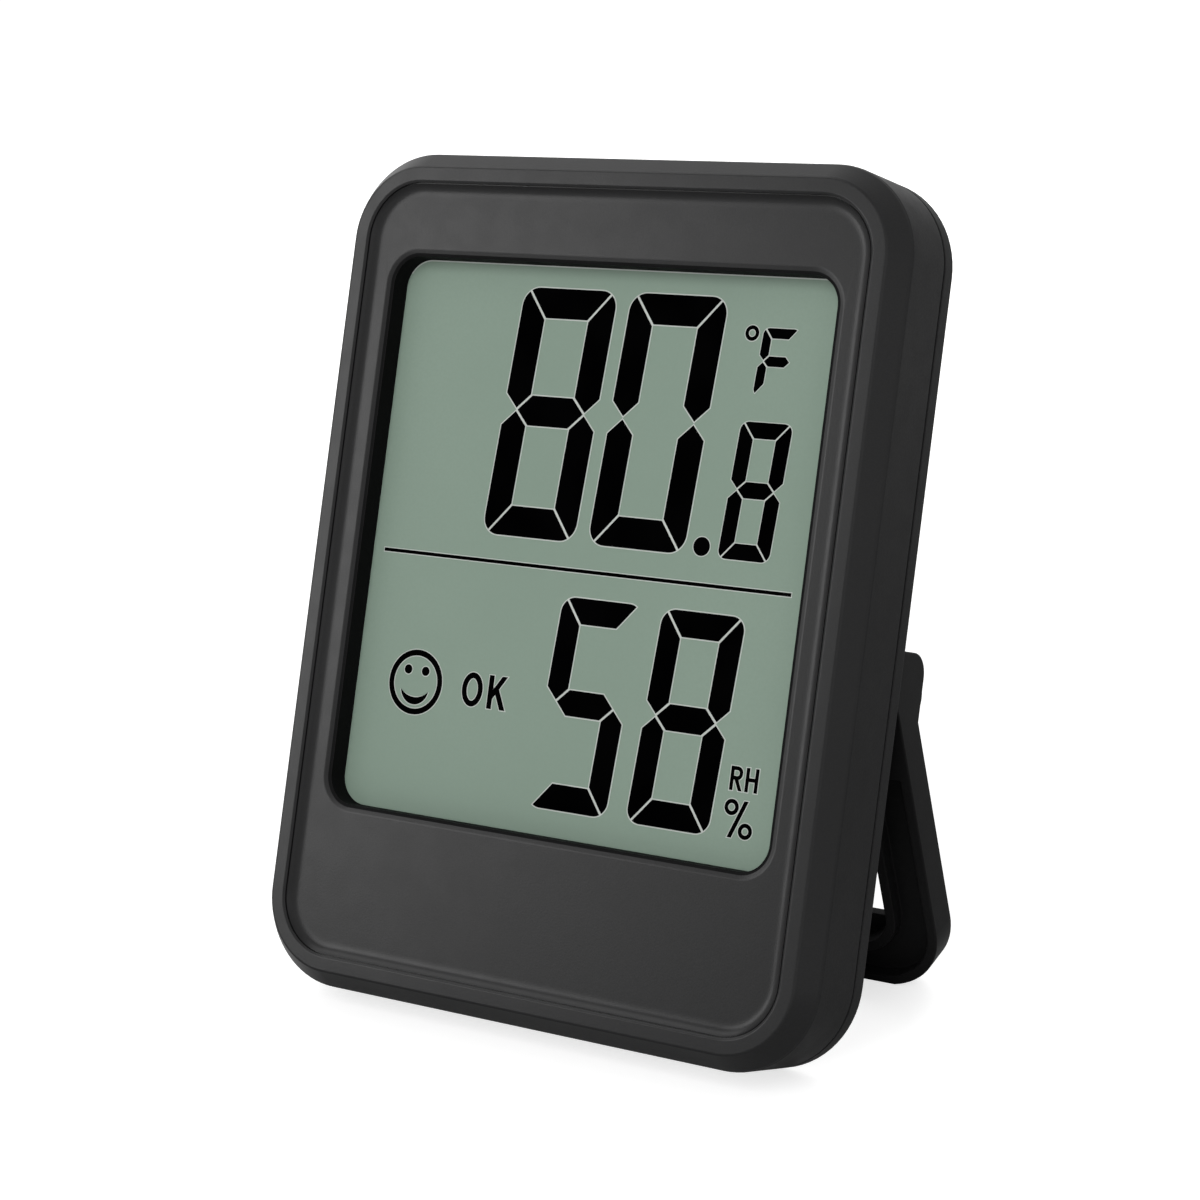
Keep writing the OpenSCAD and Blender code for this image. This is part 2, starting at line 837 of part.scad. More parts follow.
// Side view of an arm with its heel and knuckle, in the leg's own frame:
// depth to the right, along the leg upwards
module arm_side() {
    meet_z = bend_z - (heel_back - bend_y - leg_t / cos(open_angle)) / tan(open_angle);
    hinge_up = (pin_z - bend_z) * cos(open_angle) - (pin_y - bend_y) * sin(open_angle);
    rotate(-open_angle)
        translate([-bend_y, -bend_z]) {
            difference() {
                polygon([[heel_front, pin_z], [heel_front, heel_top], [heel_back, heel_top],
                    [heel_back, meet_z], [pin_y, pin_z]]);
                translate([heel_back - heel_r, heel_top - heel_r])
                    square(heel_r + 1);
            }
            translate([heel_back - heel_r, heel_top - heel_r])
                circle(heel_r);
            translate([pin_y, pin_z])
                circle(knuckle_r + knuckle_swell);
        }
    translate([0, -arm_len])
        square([leg_t, arm_len + hinge_up + 0.3]);
}

module stand_frame() {
    color([0.08, 0.08, 0.085])
    standing()
    difference() {
        translate([0, bend_y, bend_z])
            rotate([open_angle, 0, 0]) {
                difference() {
                    plate(0, leg_t)
                        loop(0, -arm_len);
                    plate(-1, channel_deep)
                        loop(channel_wall, -arm_len - 1);
                }
                block(-arm_in - eps, arm_in + eps, leg_t - lip_t, leg_t,
                    -leg_len + bar_h - 1, -leg_len + bar_h + lip_h);
                for (sx = [0, 1])
                    mirror([sx, 0, 0])
                        translate([arm_in, 0, 0])
                            rotate([90, 0, 90])
                                linear_extrude(height = leg_w)
                                    arm_side();
            }
        for (sx = [0, 1])
            mirror([sx, 0, 0])
                translate([arm_in - 1, pin_y, pin_z])
                    rotate([0, 90, 0])
                        cylinder(h = pin_reach + 0.2 + 1, r = pin_r + pin_fit);
        under_table();
    }
}

module hinge_pins() {
    color([0.72, 0.72, 0.74])
    standing()
    for (sx = [0, 1])
        mirror([sx, 0, 0])
            translate([lug_out - pin_grip, pin_y, pin_z])
                rotate([0, 90, 0])
                    cylinder(h = arm_in + pin_reach - lug_out + pin_grip, r = pin_r);
}

front_case();
rear_cover();
front_polariser();
lcd_front_glass();
lcd_rear_glass();
lcd_reflector();
zebra_connector();
lcd_cushion();
circuit_board();
chip_blob();
chip_components();
timing_crystal();
humidity_sensor();
tact_switch();
coin_cell();
positive_contact();
negative_contact();
battery_door();
unit_button();
board_screws();
case_screws();
stand_frame();
hinge_pins();
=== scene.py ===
"""Looks of a desk thermometer and hygrometer that leans on a fold-out loop stand.

The classes give lengths in millimetres in the upright body's own frame: x to the right, y backwards from
the front rim, z up from mid height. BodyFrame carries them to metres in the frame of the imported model.
"""

import json
import logging
import math
from dataclasses import dataclass
from enum import Enum
from functools import cache

import bmesh
import bpy
from bmesh.types import BMEdge, BMesh, BMFace, BMVert
from bpy.types import Material, Node, NodeSocket, NodeTree
from mathutils import Matrix, Vector


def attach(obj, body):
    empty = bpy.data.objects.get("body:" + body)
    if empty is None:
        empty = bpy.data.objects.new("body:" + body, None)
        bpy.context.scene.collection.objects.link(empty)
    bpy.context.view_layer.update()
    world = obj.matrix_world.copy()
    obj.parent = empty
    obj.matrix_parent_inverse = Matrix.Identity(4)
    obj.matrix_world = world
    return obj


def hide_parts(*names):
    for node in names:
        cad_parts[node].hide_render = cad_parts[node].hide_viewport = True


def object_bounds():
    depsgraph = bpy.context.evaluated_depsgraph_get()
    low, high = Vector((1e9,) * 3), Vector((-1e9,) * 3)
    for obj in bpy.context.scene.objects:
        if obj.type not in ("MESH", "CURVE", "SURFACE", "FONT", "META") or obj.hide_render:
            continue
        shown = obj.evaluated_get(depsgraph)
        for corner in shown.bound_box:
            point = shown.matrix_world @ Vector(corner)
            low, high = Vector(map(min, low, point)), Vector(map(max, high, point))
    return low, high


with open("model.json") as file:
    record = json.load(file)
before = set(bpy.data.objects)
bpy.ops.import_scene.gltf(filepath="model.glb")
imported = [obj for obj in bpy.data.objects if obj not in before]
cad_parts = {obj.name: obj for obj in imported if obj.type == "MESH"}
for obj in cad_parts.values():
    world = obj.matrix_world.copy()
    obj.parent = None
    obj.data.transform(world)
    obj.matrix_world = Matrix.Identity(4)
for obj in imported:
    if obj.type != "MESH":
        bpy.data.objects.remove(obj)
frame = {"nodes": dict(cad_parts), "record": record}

LOG = logging.getLogger("desk_monitor")
MM = 0.001
CAD_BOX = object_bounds()

Point = tuple[float, float]
Cut = tuple[Point, Point]
Colour = tuple[float, float, float]
Number = float | NodeSocket

# Straight steps in round shapes
CASE_CORNER_STEPS = 20
BOWL_CORNER_STEPS = 14
BAR_CORNER_STEPS = 10
DISC_STEPS = 48
SMILE_STEPS = 24

# Bevel profile of a round arc
ARC = 0.5

# Tolerances in millimetres for cuts, for points in one place and for finding a ring of edges
CUT_REACH = 0.00001
SAME_PLACE = 0.001
RING_DEPTH_REACH = 0.005
RING_INSET_REACH = 0.02

# Gap in millimetres between strokes that would otherwise share an edge
HAIRLINE = 0.002

# Ranges of a mask and of the middle part of a noise
UNIT = (0.0, 1.0)
NOISE_RANGE = (0.35, 0.65)


class Body(Enum):
    """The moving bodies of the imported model."""

    HOUSING = "housing"
    STAND = "stand"
    DOOR = "door"
    BUTTON = "button"


# Frame of the upright body


@dataclass(frozen=True)
class BodyFrame:
    """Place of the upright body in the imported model.

    The hanging hole's mount gives the lean of the back and one known point.
    """

    hang_depth: float = 9.3
    hang_height: float = 17.0

    def matrix(self) -> Matrix:
        """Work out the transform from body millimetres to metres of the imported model.

        Returns:
            A 4 by 4 matrix.
        """
        mount = next(m for m in frame["record"]["mounts"] if m["name"] == "hang_hole")
        back = Vector(mount["axis"])
        lean = math.atan2(-back.z, back.y)
        turn = Matrix.Rotation(-lean, 4, "X") @ Matrix.Scale(MM, 4)
        known = Vector((0.0, self.hang_depth, self.hang_height))
        shift = Vector(mount["pos_m"]) - turn @ known
        return Matrix.Translation(shift) @ turn


PLACE = BodyFrame().matrix()


# Mesh helpers


def face_viewer(mesh: BMesh, verts: list[BMVert], middle: Point, depth: float) -> None:
    """Turn flat vertices from the ground plane to the viewer and set them at a middle and a depth."""
    place = Matrix.Translation((middle[0], depth, middle[1])) @ Matrix.Rotation(math.pi / 2, 4, "X")
    bmesh.ops.transform(mesh, matrix=place, verts=verts)


def round_disc(mesh: BMesh, radius: float, middle: Point, depth: float, steps: int = DISC_STEPS) -> BMFace:
    """Add a flat disc that faces the viewer.

    Args:
        mesh: The mesh to add to.
        radius: Radius of the disc.
        middle: Middle of the disc, x and z.
        depth: Depth of the disc.
        steps: Corners of the disc.

    Returns:
        The disc's face.
    """
    rim = bmesh.ops.create_circle(mesh, cap_ends=True, segments=steps, radius=radius)["verts"]
    face_viewer(mesh, rim, middle, depth)
    return rim[0].link_faces[0]


def draw_in(mesh: BMesh, face: BMFace, inward: float) -> None:
    """Draw a face in on every side, with a band of new faces round it."""
    bmesh.ops.inset_region(mesh, faces=[face], thickness=inward, use_even_offset=True, use_boundary=True)


def take_out(mesh: BMesh, face: BMFace) -> None:
    """Delete a face and leave its edges."""
    bmesh.ops.delete(mesh, geom=[face], context="FACES_ONLY")


def hollow_out(mesh: BMesh, face: BMFace, stroke: float) -> None:
    """Turn a flat plate into a ring of the given stroke."""
    draw_in(mesh, face, stroke)
    take_out(mesh, face)


def keep_side(mesh: BMesh, point: Point, away: Point, reach: float = 0.0) -> None:
    """Cut off the part of a flat mesh that lies beyond a line in x and z.

    Args:
        mesh: The mesh to cut.
        point: A point, x and z.
        away: Direction, x and z, in which the mesh is cut off.
        reach: How far beyond the point the line lies.
    """
    bmesh.ops.bisect_plane(
        mesh, geom=mesh.verts[:] + mesh.edges[:] + mesh.faces[:], dist=CUT_REACH, clear_outer=True,
        plane_co=(point[0] + away[0] * reach, 0.0, point[1] + away[1] * reach),
        plane_no=(away[0], 0.0, away[1]),
    )


def add_flat(target: BMesh, part: BMesh) -> None:
    """Move a flat part into another mesh.

    Args:
        target: The mesh to add to.
        part: The part; it is freed.
    """
    carrier = bpy.data.meshes.new("carrier")
    part.to_mesh(carrier)
    part.free()
    target.from_mesh(carrier)
    bpy.data.meshes.remove(carrier)


def soften(mesh: BMesh, edges: list[BMEdge], width: float, steps: int, clamp: bool = True) -> None:
    """Round edges off.

    Args:
        mesh: The mesh.
        edges: The edges to round.
        width: Width of the rounding.
        steps: Straight steps in the rounding.
        clamp: Whether roundings that would overlap are made narrower.
    """
    bmesh.ops.bevel(
        mesh, geom=edges, offset=width, offset_type="OFFSET", segments=steps, profile=ARC,
        affect="EDGES", clamp_overlap=clamp, material=-1,
    )


@dataclass(frozen=True)
class Outline:
    """Rectangle with round corners, seen from the front."""

    width: float
    height: float
    corner: float
    middle: Point = (0.0, 0.0)

    def inside(self, inward: float) -> "Outline":
        """Return the outline that lies further in by a distance."""
        return Outline(self.width - 2 * inward, self.height - 2 * inward, self.corner - inward, self.middle)

    def corner_centre(self, point: Vector) -> Vector:
        """Work out the centre of the round corner next to a point.

        Args:
            point: The point.

        Returns:
            The centre, at the point's depth.
        """
        across = math.copysign(self.width / 2 - self.corner, point.x - self.middle[0])
        along = math.copysign(self.height / 2 - self.corner, point.z - self.middle[1])
        return Vector((self.middle[0] + across, point.y, self.middle[1] + along))

    def inset_of(self, point: Vector) -> float:
        """Work out how far a point lies inside the outline.

        Args:
            point: The point.

        Returns:
            The distance, seen from the front.
        """
        across = abs(point.x - self.middle[0]) - (self.width / 2 - self.corner)
        along = abs(point.z - self.middle[1]) - (self.height / 2 - self.corner)
        outside = math.hypot(max(across, 0.0), max(along, 0.0)) + min(max(across, along), 0.0)
        return self.corner - outside

    def plate(self, mesh: BMesh, depth: float, steps: int = CASE_CORNER_STEPS) -> BMFace:
        """Add a flat plate of this outline that faces the viewer.

        Args:
            mesh: The mesh to add to.
            depth: Depth of the plate.
            steps: Straight steps in each corner.

        Returns:
            The plate's face.
        """
        corners = bmesh.ops.create_grid(mesh, x_segments=1, y_segments=1, size=0.5)["verts"]
        bmesh.ops.scale(mesh, vec=(self.width, self.height, 1.0), verts=corners)
        face_viewer(mesh, corners, self.middle, depth)
        if self.corner <= 0:
            return corners[0].link_faces[0]
        rounded = bmesh.ops.bevel(
            mesh, geom=corners, offset=self.corner, offset_type="OFFSET", segments=steps, profile=ARC,
            affect="VERTICES", material=-1,
        )
        return rounded["verts"][0].link_faces[0]

    def edges_at(self, mesh: BMesh, inset: float, depth: float) -> list[BMEdge]:
        """List the edges of a ring.

        Args:
            mesh: The mesh to look at.
            inset: Distance of the ring inside this outline.
            depth: Depth of the ring.

        Returns:
            The ring's edges.
        """
        return [
            edge for edge in mesh.edges
            if all(
                abs(vert.co.y - depth) < RING_DEPTH_REACH
                and abs(self.inset_of(vert.co) - inset) < RING_INSET_REACH
                for vert in edge.verts
            )
        ]

    def draw_ring(self, mesh: BMesh, ring: list[BMEdge], other: "Outline", depth: float) -> list[BMEdge]:
        """Draw a ring of edges from this outline to another one, with a band of new faces.

        Args:
            mesh: The mesh.
            ring: The edges on this outline.
            other: The outline to which they go.
            depth: The depth at which they end.

        Returns:
            The new ring's edges.
        """
        step = math.pi / 2 / CASE_CORNER_STEPS
        drawn = bmesh.ops.extrude_edge_only(mesh, edges=ring)["geom"]
        for vert in (item for item in drawn if isinstance(item, BMVert)):
            away = vert.co - self.corner_centre(vert.co)
            angle = round(math.atan2(away.z, away.x) / step) * step
            reach = Vector((math.cos(angle), 0.0, math.sin(angle))) * other.corner
            moved = other.corner_centre(vert.co) + reach
            vert.co = (moved.x, depth, moved.z)
        return [item for item in drawn if isinstance(item, BMEdge)]


@dataclass(frozen=True)
class Piece:
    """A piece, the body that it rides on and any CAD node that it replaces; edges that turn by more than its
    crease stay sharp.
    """

    name: str
    body: Body
    slot: str
    crease: float
    replaced: str | None = None

    def finish(self, mesh: BMesh, *finishes: Material) -> None:
        """Make an object of a mesh, shade it and let it ride on its body.

        Args:
            mesh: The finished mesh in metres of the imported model; it is freed.
            finishes: Finishes in the order of the faces' material numbers.
        """
        data = bpy.data.meshes.new(self.name)
        mesh.to_mesh(data)
        mesh.free()
        for finish in finishes:
            data.materials.append(finish)
        data.shade_smooth()
        data.set_sharp_from_angle(angle=math.radians(self.crease))
        piece = bpy.data.objects.new(self.name, data)
        bpy.context.scene.collection.objects.link(piece)
        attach(piece, self.body.value)
        if self.replaced is not None:
            piece.modifiers.new("flat_shares", "WEIGHTED_NORMAL").keep_sharp = True
            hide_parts(self.replaced)
        LOG.info("piece %s rides on %s, %d faces", self.name, self.body.value, len(data.polygons))

    def raise_flat(self, flat: BMesh, thickness: float, finish: Material) -> None:
        """Thicken flat marks towards the viewer, put them in place and finish them.

        Args:
            flat: Flat faces in the body's frame; the mesh is freed.
            thickness: How far they are raised, negative for the back.
            finish: Finish of the marks.
        """
        drawn = bmesh.ops.extrude_face_region(flat, geom=flat.faces[:])["geom"]
        front = [item for item in drawn if isinstance(item, BMVert)]
        bmesh.ops.translate(flat, vec=(0.0, -thickness, 0.0), verts=front)
        bmesh.ops.recalc_face_normals(flat, faces=flat.faces[:])
        bmesh.ops.transform(flat, matrix=PLACE, verts=flat.verts[:])
        self.finish(flat, finish)


# Shader helpers


@dataclass
class Graph:
    """Node tree that is filled node by node."""

    tree: NodeTree

    def add(
        self, kind: str, *values: object, settings: dict[str, object] | None = None, **inputs: object
    ) -> Node:
        """Add a node.

        Args:
            kind: Type name of the node.
            values: Values, or sockets to link, in the order of the inputs.
            settings: Properties of the node by name.
            inputs: Values, or sockets to link, by input name with _ for a space.

        Returns:
            The node.
        """
        node = self.tree.nodes.new(kind)
        for key, value in (settings or {}).items():
            setattr(node, key, value)
        pairs = list(zip(node.inputs, values))
        for key, value in inputs.items():
            name = key.replace("_", " ")
            pairs.append((next(s for s in node.inputs if s.name == name and s.enabled), value))
        for socket, value in pairs:
            if isinstance(value, NodeSocket):
                self.tree.links.new(value, socket)
            else:
                socket.default_value = (*value, 1.0) if socket.type == "RGBA" else value
        return node

    def math(self, operation: str, *values: Number) -> NodeSocket:
        """Return the result of an operation on numbers or sockets."""
        return self.add("ShaderNodeMath", *values, settings={"operation": operation}).outputs[0]

    def remap(
        self, value: NodeSocket, given: Point, wanted: tuple[Number, Number], soft: bool = False
    ) -> NodeSocket:
        """Return a value whose given range is mapped onto a wanted one, with gentle ends if it is soft."""
        settings = {"interpolation_type": "SMOOTHSTEP" if soft else "LINEAR"}
        return self.add("ShaderNodeMapRange", value, *given, *wanted, settings=settings).outputs[0]

    def mix(self, mask: NodeSocket, low: Colour | NodeSocket, high: Colour) -> NodeSocket:
        """Return a colour that a mask mixes from two, the first of which may be a socket."""
        node = self.add("ShaderNodeMix", settings={"data_type": "RGBA"}, Factor=mask, A=low, B=high)
        return next(socket for socket in node.outputs if socket.enabled)


class Group(Graph):
    """Node group that materials share, with a vector input, number inputs and number outputs."""

    def __init__(self, name: str, **inputs: float) -> None:
        """Make the group.

        Args:
            name: Name of the group.
            inputs: Defaults of its number inputs, by name with _ for a space.
        """
        super().__init__(bpy.data.node_groups.new(name, "ShaderNodeTree"))
        sockets = self.tree.interface
        sockets.new_socket("Vector", in_out="INPUT", socket_type="NodeSocketVector")
        for key, value in inputs.items():
            socket = sockets.new_socket(key.replace("_", " "), in_out="INPUT", socket_type="NodeSocketFloat")
            socket.default_value = value
        self.given = self.add("NodeGroupInput").outputs

    def rate(self, size: str) -> NodeSocket:
        """Return the texture scale for an input that gives a size in millimetres."""
        return self.math("DIVIDE", 1.0 / MM, self.given[size])

    def noise(self, vector: NodeSocket, scale: Number, **inputs: float) -> NodeSocket:
        """Return a noise at a scale."""
        return self.add("ShaderNodeTexNoise", Vector=vector, Scale=scale, **inputs).outputs["Fac"]

    def give(self, **outputs: NodeSocket) -> NodeTree:
        """Add the group's outputs.

        Args:
            outputs: What the outputs give, by name.

        Returns:
            The group's tree.
        """
        for key in outputs:
            self.tree.interface.new_socket(key, in_out="OUTPUT", socket_type="NodeSocketFloat")
        self.add("NodeGroupOutput", **outputs)
        return self.tree


@cache
def moulded_grain() -> NodeTree:
    """Make the fine texture of a moulding tool: pits of two sizes.

    Returns:
        A group that gives a height and a mask of the pits.
    """
    softness = 0.6
    pit_range = (0.45, 1.05)
    group = Group("moulded_grain", Size=0.2, Contrast=1.0)
    place, rate = group.given["Vector"], group.rate("Size")
    fine = group.noise(place, rate, Detail=3.0, Roughness=softness)
    cells = group.add(
        "ShaderNodeTexVoronoi", settings={"feature": "SMOOTH_F1"}, Vector=place, Scale=rate,
        Smoothness=softness,
    )
    height = group.math("MULTIPLY_ADD", cells.outputs["Distance"], group.given["Contrast"], fine)
    return group.give(Height=height, Pits=group.remap(height, pit_range, (1.0, 0.0)))


@cache
def tone_drift() -> NodeTree:
    """Make the slow change of tone over a moulded or printed surface.

    Returns:
        A group that gives a soft mask and a smudge mask.
    """
    group = Group("tone_drift", Size=20.0, Smudge_Size=6.0)
    masks = {}
    for key, size, detail in (("Tone", "Size", 2.0), ("Smudge", "Smudge Size", 5.0)):
        noise = group.noise(group.given["Vector"], group.rate(size), Detail=detail, Roughness=0.5)
        masks[key] = group.remap(noise, NOISE_RANGE, UNIT, soft=True)
    return group.give(**masks)


@cache
def brushed_lines() -> NodeTree:
    """Make fine lines along x, as on rolled or brushed metal.

    Returns:
        A group that gives a height and a mask of the lines.
    """
    group = Group("brushed_lines", Size=0.1, Stretch=30.0)
    rate = group.rate("Size")
    slow = group.math("DIVIDE", rate, group.given["Stretch"])
    rates = group.add("ShaderNodeCombineXYZ", slow, rate, rate).outputs[0]
    settings = {"operation": "MULTIPLY"}
    place = group.add("ShaderNodeVectorMath", group.given["Vector"], rates, settings=settings)
    height = group.noise(place.outputs[0], 1.0, Detail=4.0)
    return group.give(Height=height, Lines=group.remap(height, NOISE_RANGE, UNIT))


class Look(Graph):
    """Node tree of a material, with Object coordinates."""

    def __init__(self, name: str) -> None:
        """Make the material.

        Args:
            name: Name of the material.
        """
        self.material = bpy.data.materials.new(name)
        self.material.use_nodes = True
        super().__init__(self.material.node_tree)
        self.tree.nodes.clear()
        self.place = self.add("ShaderNodeTexCoord").outputs["Object"]

    def effect(self, group: NodeTree, **values: float) -> dict[str, NodeSocket]:
        """Place a shared effect with its own values and return its outputs by name."""
        node = self.add("ShaderNodeGroup", settings={"node_tree": group}, Vector=self.place, **values)
        return {socket.name: socket for socket in node.outputs}

    def bump(self, height: NodeSocket, strength: float, depth: float) -> NodeSocket:
        """Return a normal that a height disturbs, with its depth in millimetres."""
        node = self.add("ShaderNodeBump", Strength=strength, Distance=depth * MM, Height=height)
        return node.outputs["Normal"]

    def cover(self, shader: Node) -> Material:
        """Let a shader cover the surface and return the material."""
        self.add("ShaderNodeOutputMaterial", shader.outputs[0])
        return self.material


# Finishes


@dataclass(frozen=True)
class Finish:
    """Base of a finish: a dark tone, a light tone over it and a range of roughness."""

    name: str
    dark: Colour
    light: Colour
    gloss: Point

    def paint(
        self, look: Look, layers: list[tuple[NodeSocket, Colour]], mask: NodeSocket, **inputs: object
    ) -> Material:
        """Lay tones over the dark one, spread the roughness and make the material.

        Args:
            look: The material's node tree.
            layers: Masks and the tones that they lay over what is below.
            mask: Mask of the roughness.
            inputs: Further inputs of the shader, by name with _ for a space.

        Returns:
            The material.
        """
        colour = self.dark
        for layer, tone in layers:
            colour = look.mix(layer, colour, tone)
        rough = look.remap(mask, UNIT, self.gloss)
        return look.cover(look.add("ShaderNodeBsdfPrincipled", Base_Color=colour, Roughness=rough, **inputs))


@dataclass(frozen=True)
class MouldedPlastic(Finish):
    """Matte moulded plastic with a fine tool texture."""

    pit: Colour
    shine: float = 0.12
    grain_size: float = 0.16
    grain_depth: float = 0.012
    contrast: float = 0.8
    pit_share: float = 0.5
    strength: float = 0.35
    tone_size: float = 24.0
    smudge_size: float = 2.5

    def build(self) -> Material:
        """Make the material.

        Returns:
            The material.
        """
        look = Look(self.name)
        drift = look.effect(tone_drift(), Size=self.tone_size, Smudge_Size=self.smudge_size)
        grain = look.effect(moulded_grain(), Size=self.grain_size, Contrast=self.contrast)
        pits = look.math("MULTIPLY", grain["Pits"], self.pit_share)
        layers = [(drift["Tone"], self.light), (pits, self.pit)]
        normal = look.bump(grain["Height"], self.strength, self.grain_depth)
        return self.paint(look, layers, drift["Smudge"], Specular_IOR_Level=self.shine, Normal=normal)


@dataclass(frozen=True)
class SmoothTone(Finish):
    """Smooth surface whose tone drifts slowly: print, display film and clear glass."""

    shine: float = 0.5
    tone_size: float = 8.0
    smudge_size: float = 0.3
    clear: float = 0.0
    mottle: Colour | None = None
    mottle_share: float = 0.35

    def build(self) -> Material:
        """Make the material.

        Returns:
            The material.
        """
        look = Look(self.name)
        drift = look.effect(tone_drift(), Size=self.tone_size, Smudge_Size=self.smudge_size)
        layers = [(drift["Tone"], self.light)]
        if self.mottle is not None:
            layers.append((look.remap(drift["Smudge"], UNIT, (0.0, self.mottle_share)), self.mottle))
        inputs = {"Specular_IOR_Level": self.shine, "Transmission_Weight": self.clear}
        return self.paint(look, layers, drift["Smudge"], **inputs)


@dataclass(frozen=True)
class Metal(Finish):
    """Rolled or brushed metal."""

    line_size: float = 0.06
    stretch: float = 25.0
    strength: float = 0.2
    line_depth: float = 0.004

    def build(self) -> Material:
        """Make the material.

        Returns:
            The material.
        """
        look = Look(self.name)
        effect = look.effect(brushed_lines(), Size=self.line_size, Stretch=self.stretch)
        lines = effect["Lines"]
        normal = look.bump(effect["Height"], self.strength, self.line_depth)
        return self.paint(look, [(lines, self.light)], lines, Metallic=1.0, Normal=normal)


@dataclass(frozen=True)
class StripRubber(Finish):
    """Connector rubber: conducting and plain layers in turn."""

    pitch: float = 0.18
    wave_rate: float = 0.314
    distortion: float = 0.4

    def build(self) -> Material:
        """Make the material.

        Returns:
            The material.
        """
        look = Look(self.name)
        bands = {"wave_type": "BANDS", "bands_direction": "X"}
        scale = self.wave_rate / (self.pitch * MM)
        wave = look.add(
            "ShaderNodeTexWave", settings=bands, Vector=look.place, Scale=scale, Distortion=self.distortion
        )
        return self.paint(look, [(wave.outputs["Fac"], self.light)], wave.outputs["Fac"])


@dataclass(frozen=True)
class CircuitMask(Finish):
    """Solder mask over a weave, whose tone is the light one, and over raised tracks."""

    track: Colour
    track_pitch: float = 1.3
    track_edge: Point = (0.06, 0.09)
    track_height: float = 0.02
    strength: float = 0.4
    weave_size: float = 0.35
    contrast: float = 0.6

    def build(self) -> Material:
        """Make the material.

        Returns:
            The material.
        """
        look = Look(self.name)
        edges = {"feature": "DISTANCE_TO_EDGE"}
        scale = 1.0 / (self.track_pitch * MM)
        cells = look.add("ShaderNodeTexVoronoi", settings=edges, Vector=look.place, Scale=scale)
        tracks = look.remap(cells.outputs["Distance"], self.track_edge, (1.0, 0.0))
        weave = look.effect(moulded_grain(), Size=self.weave_size, Contrast=self.contrast)["Pits"]
        layers = [(weave, self.light), (tracks, self.track)]
        return self.paint(look, layers, weave, Normal=look.bump(tracks, self.strength, self.track_height))


@dataclass(frozen=True)
class Speckled(Finish):
    """Matte body with specks of a second tone, for foam, ceramic and epoxy."""

    size: float
    depth: float
    contrast: float = 1.0
    strength: float = 0.4

    def build(self) -> Material:
        """Make the material.

        Returns:
            The material.
        """
        look = Look(self.name)
        grain = look.effect(moulded_grain(), Size=self.size, Contrast=self.contrast)
        normal = look.bump(grain["Height"], self.strength, self.depth)
        return self.paint(look, [(grain["Pits"], self.light)], grain["Pits"], Normal=normal)


# Housing


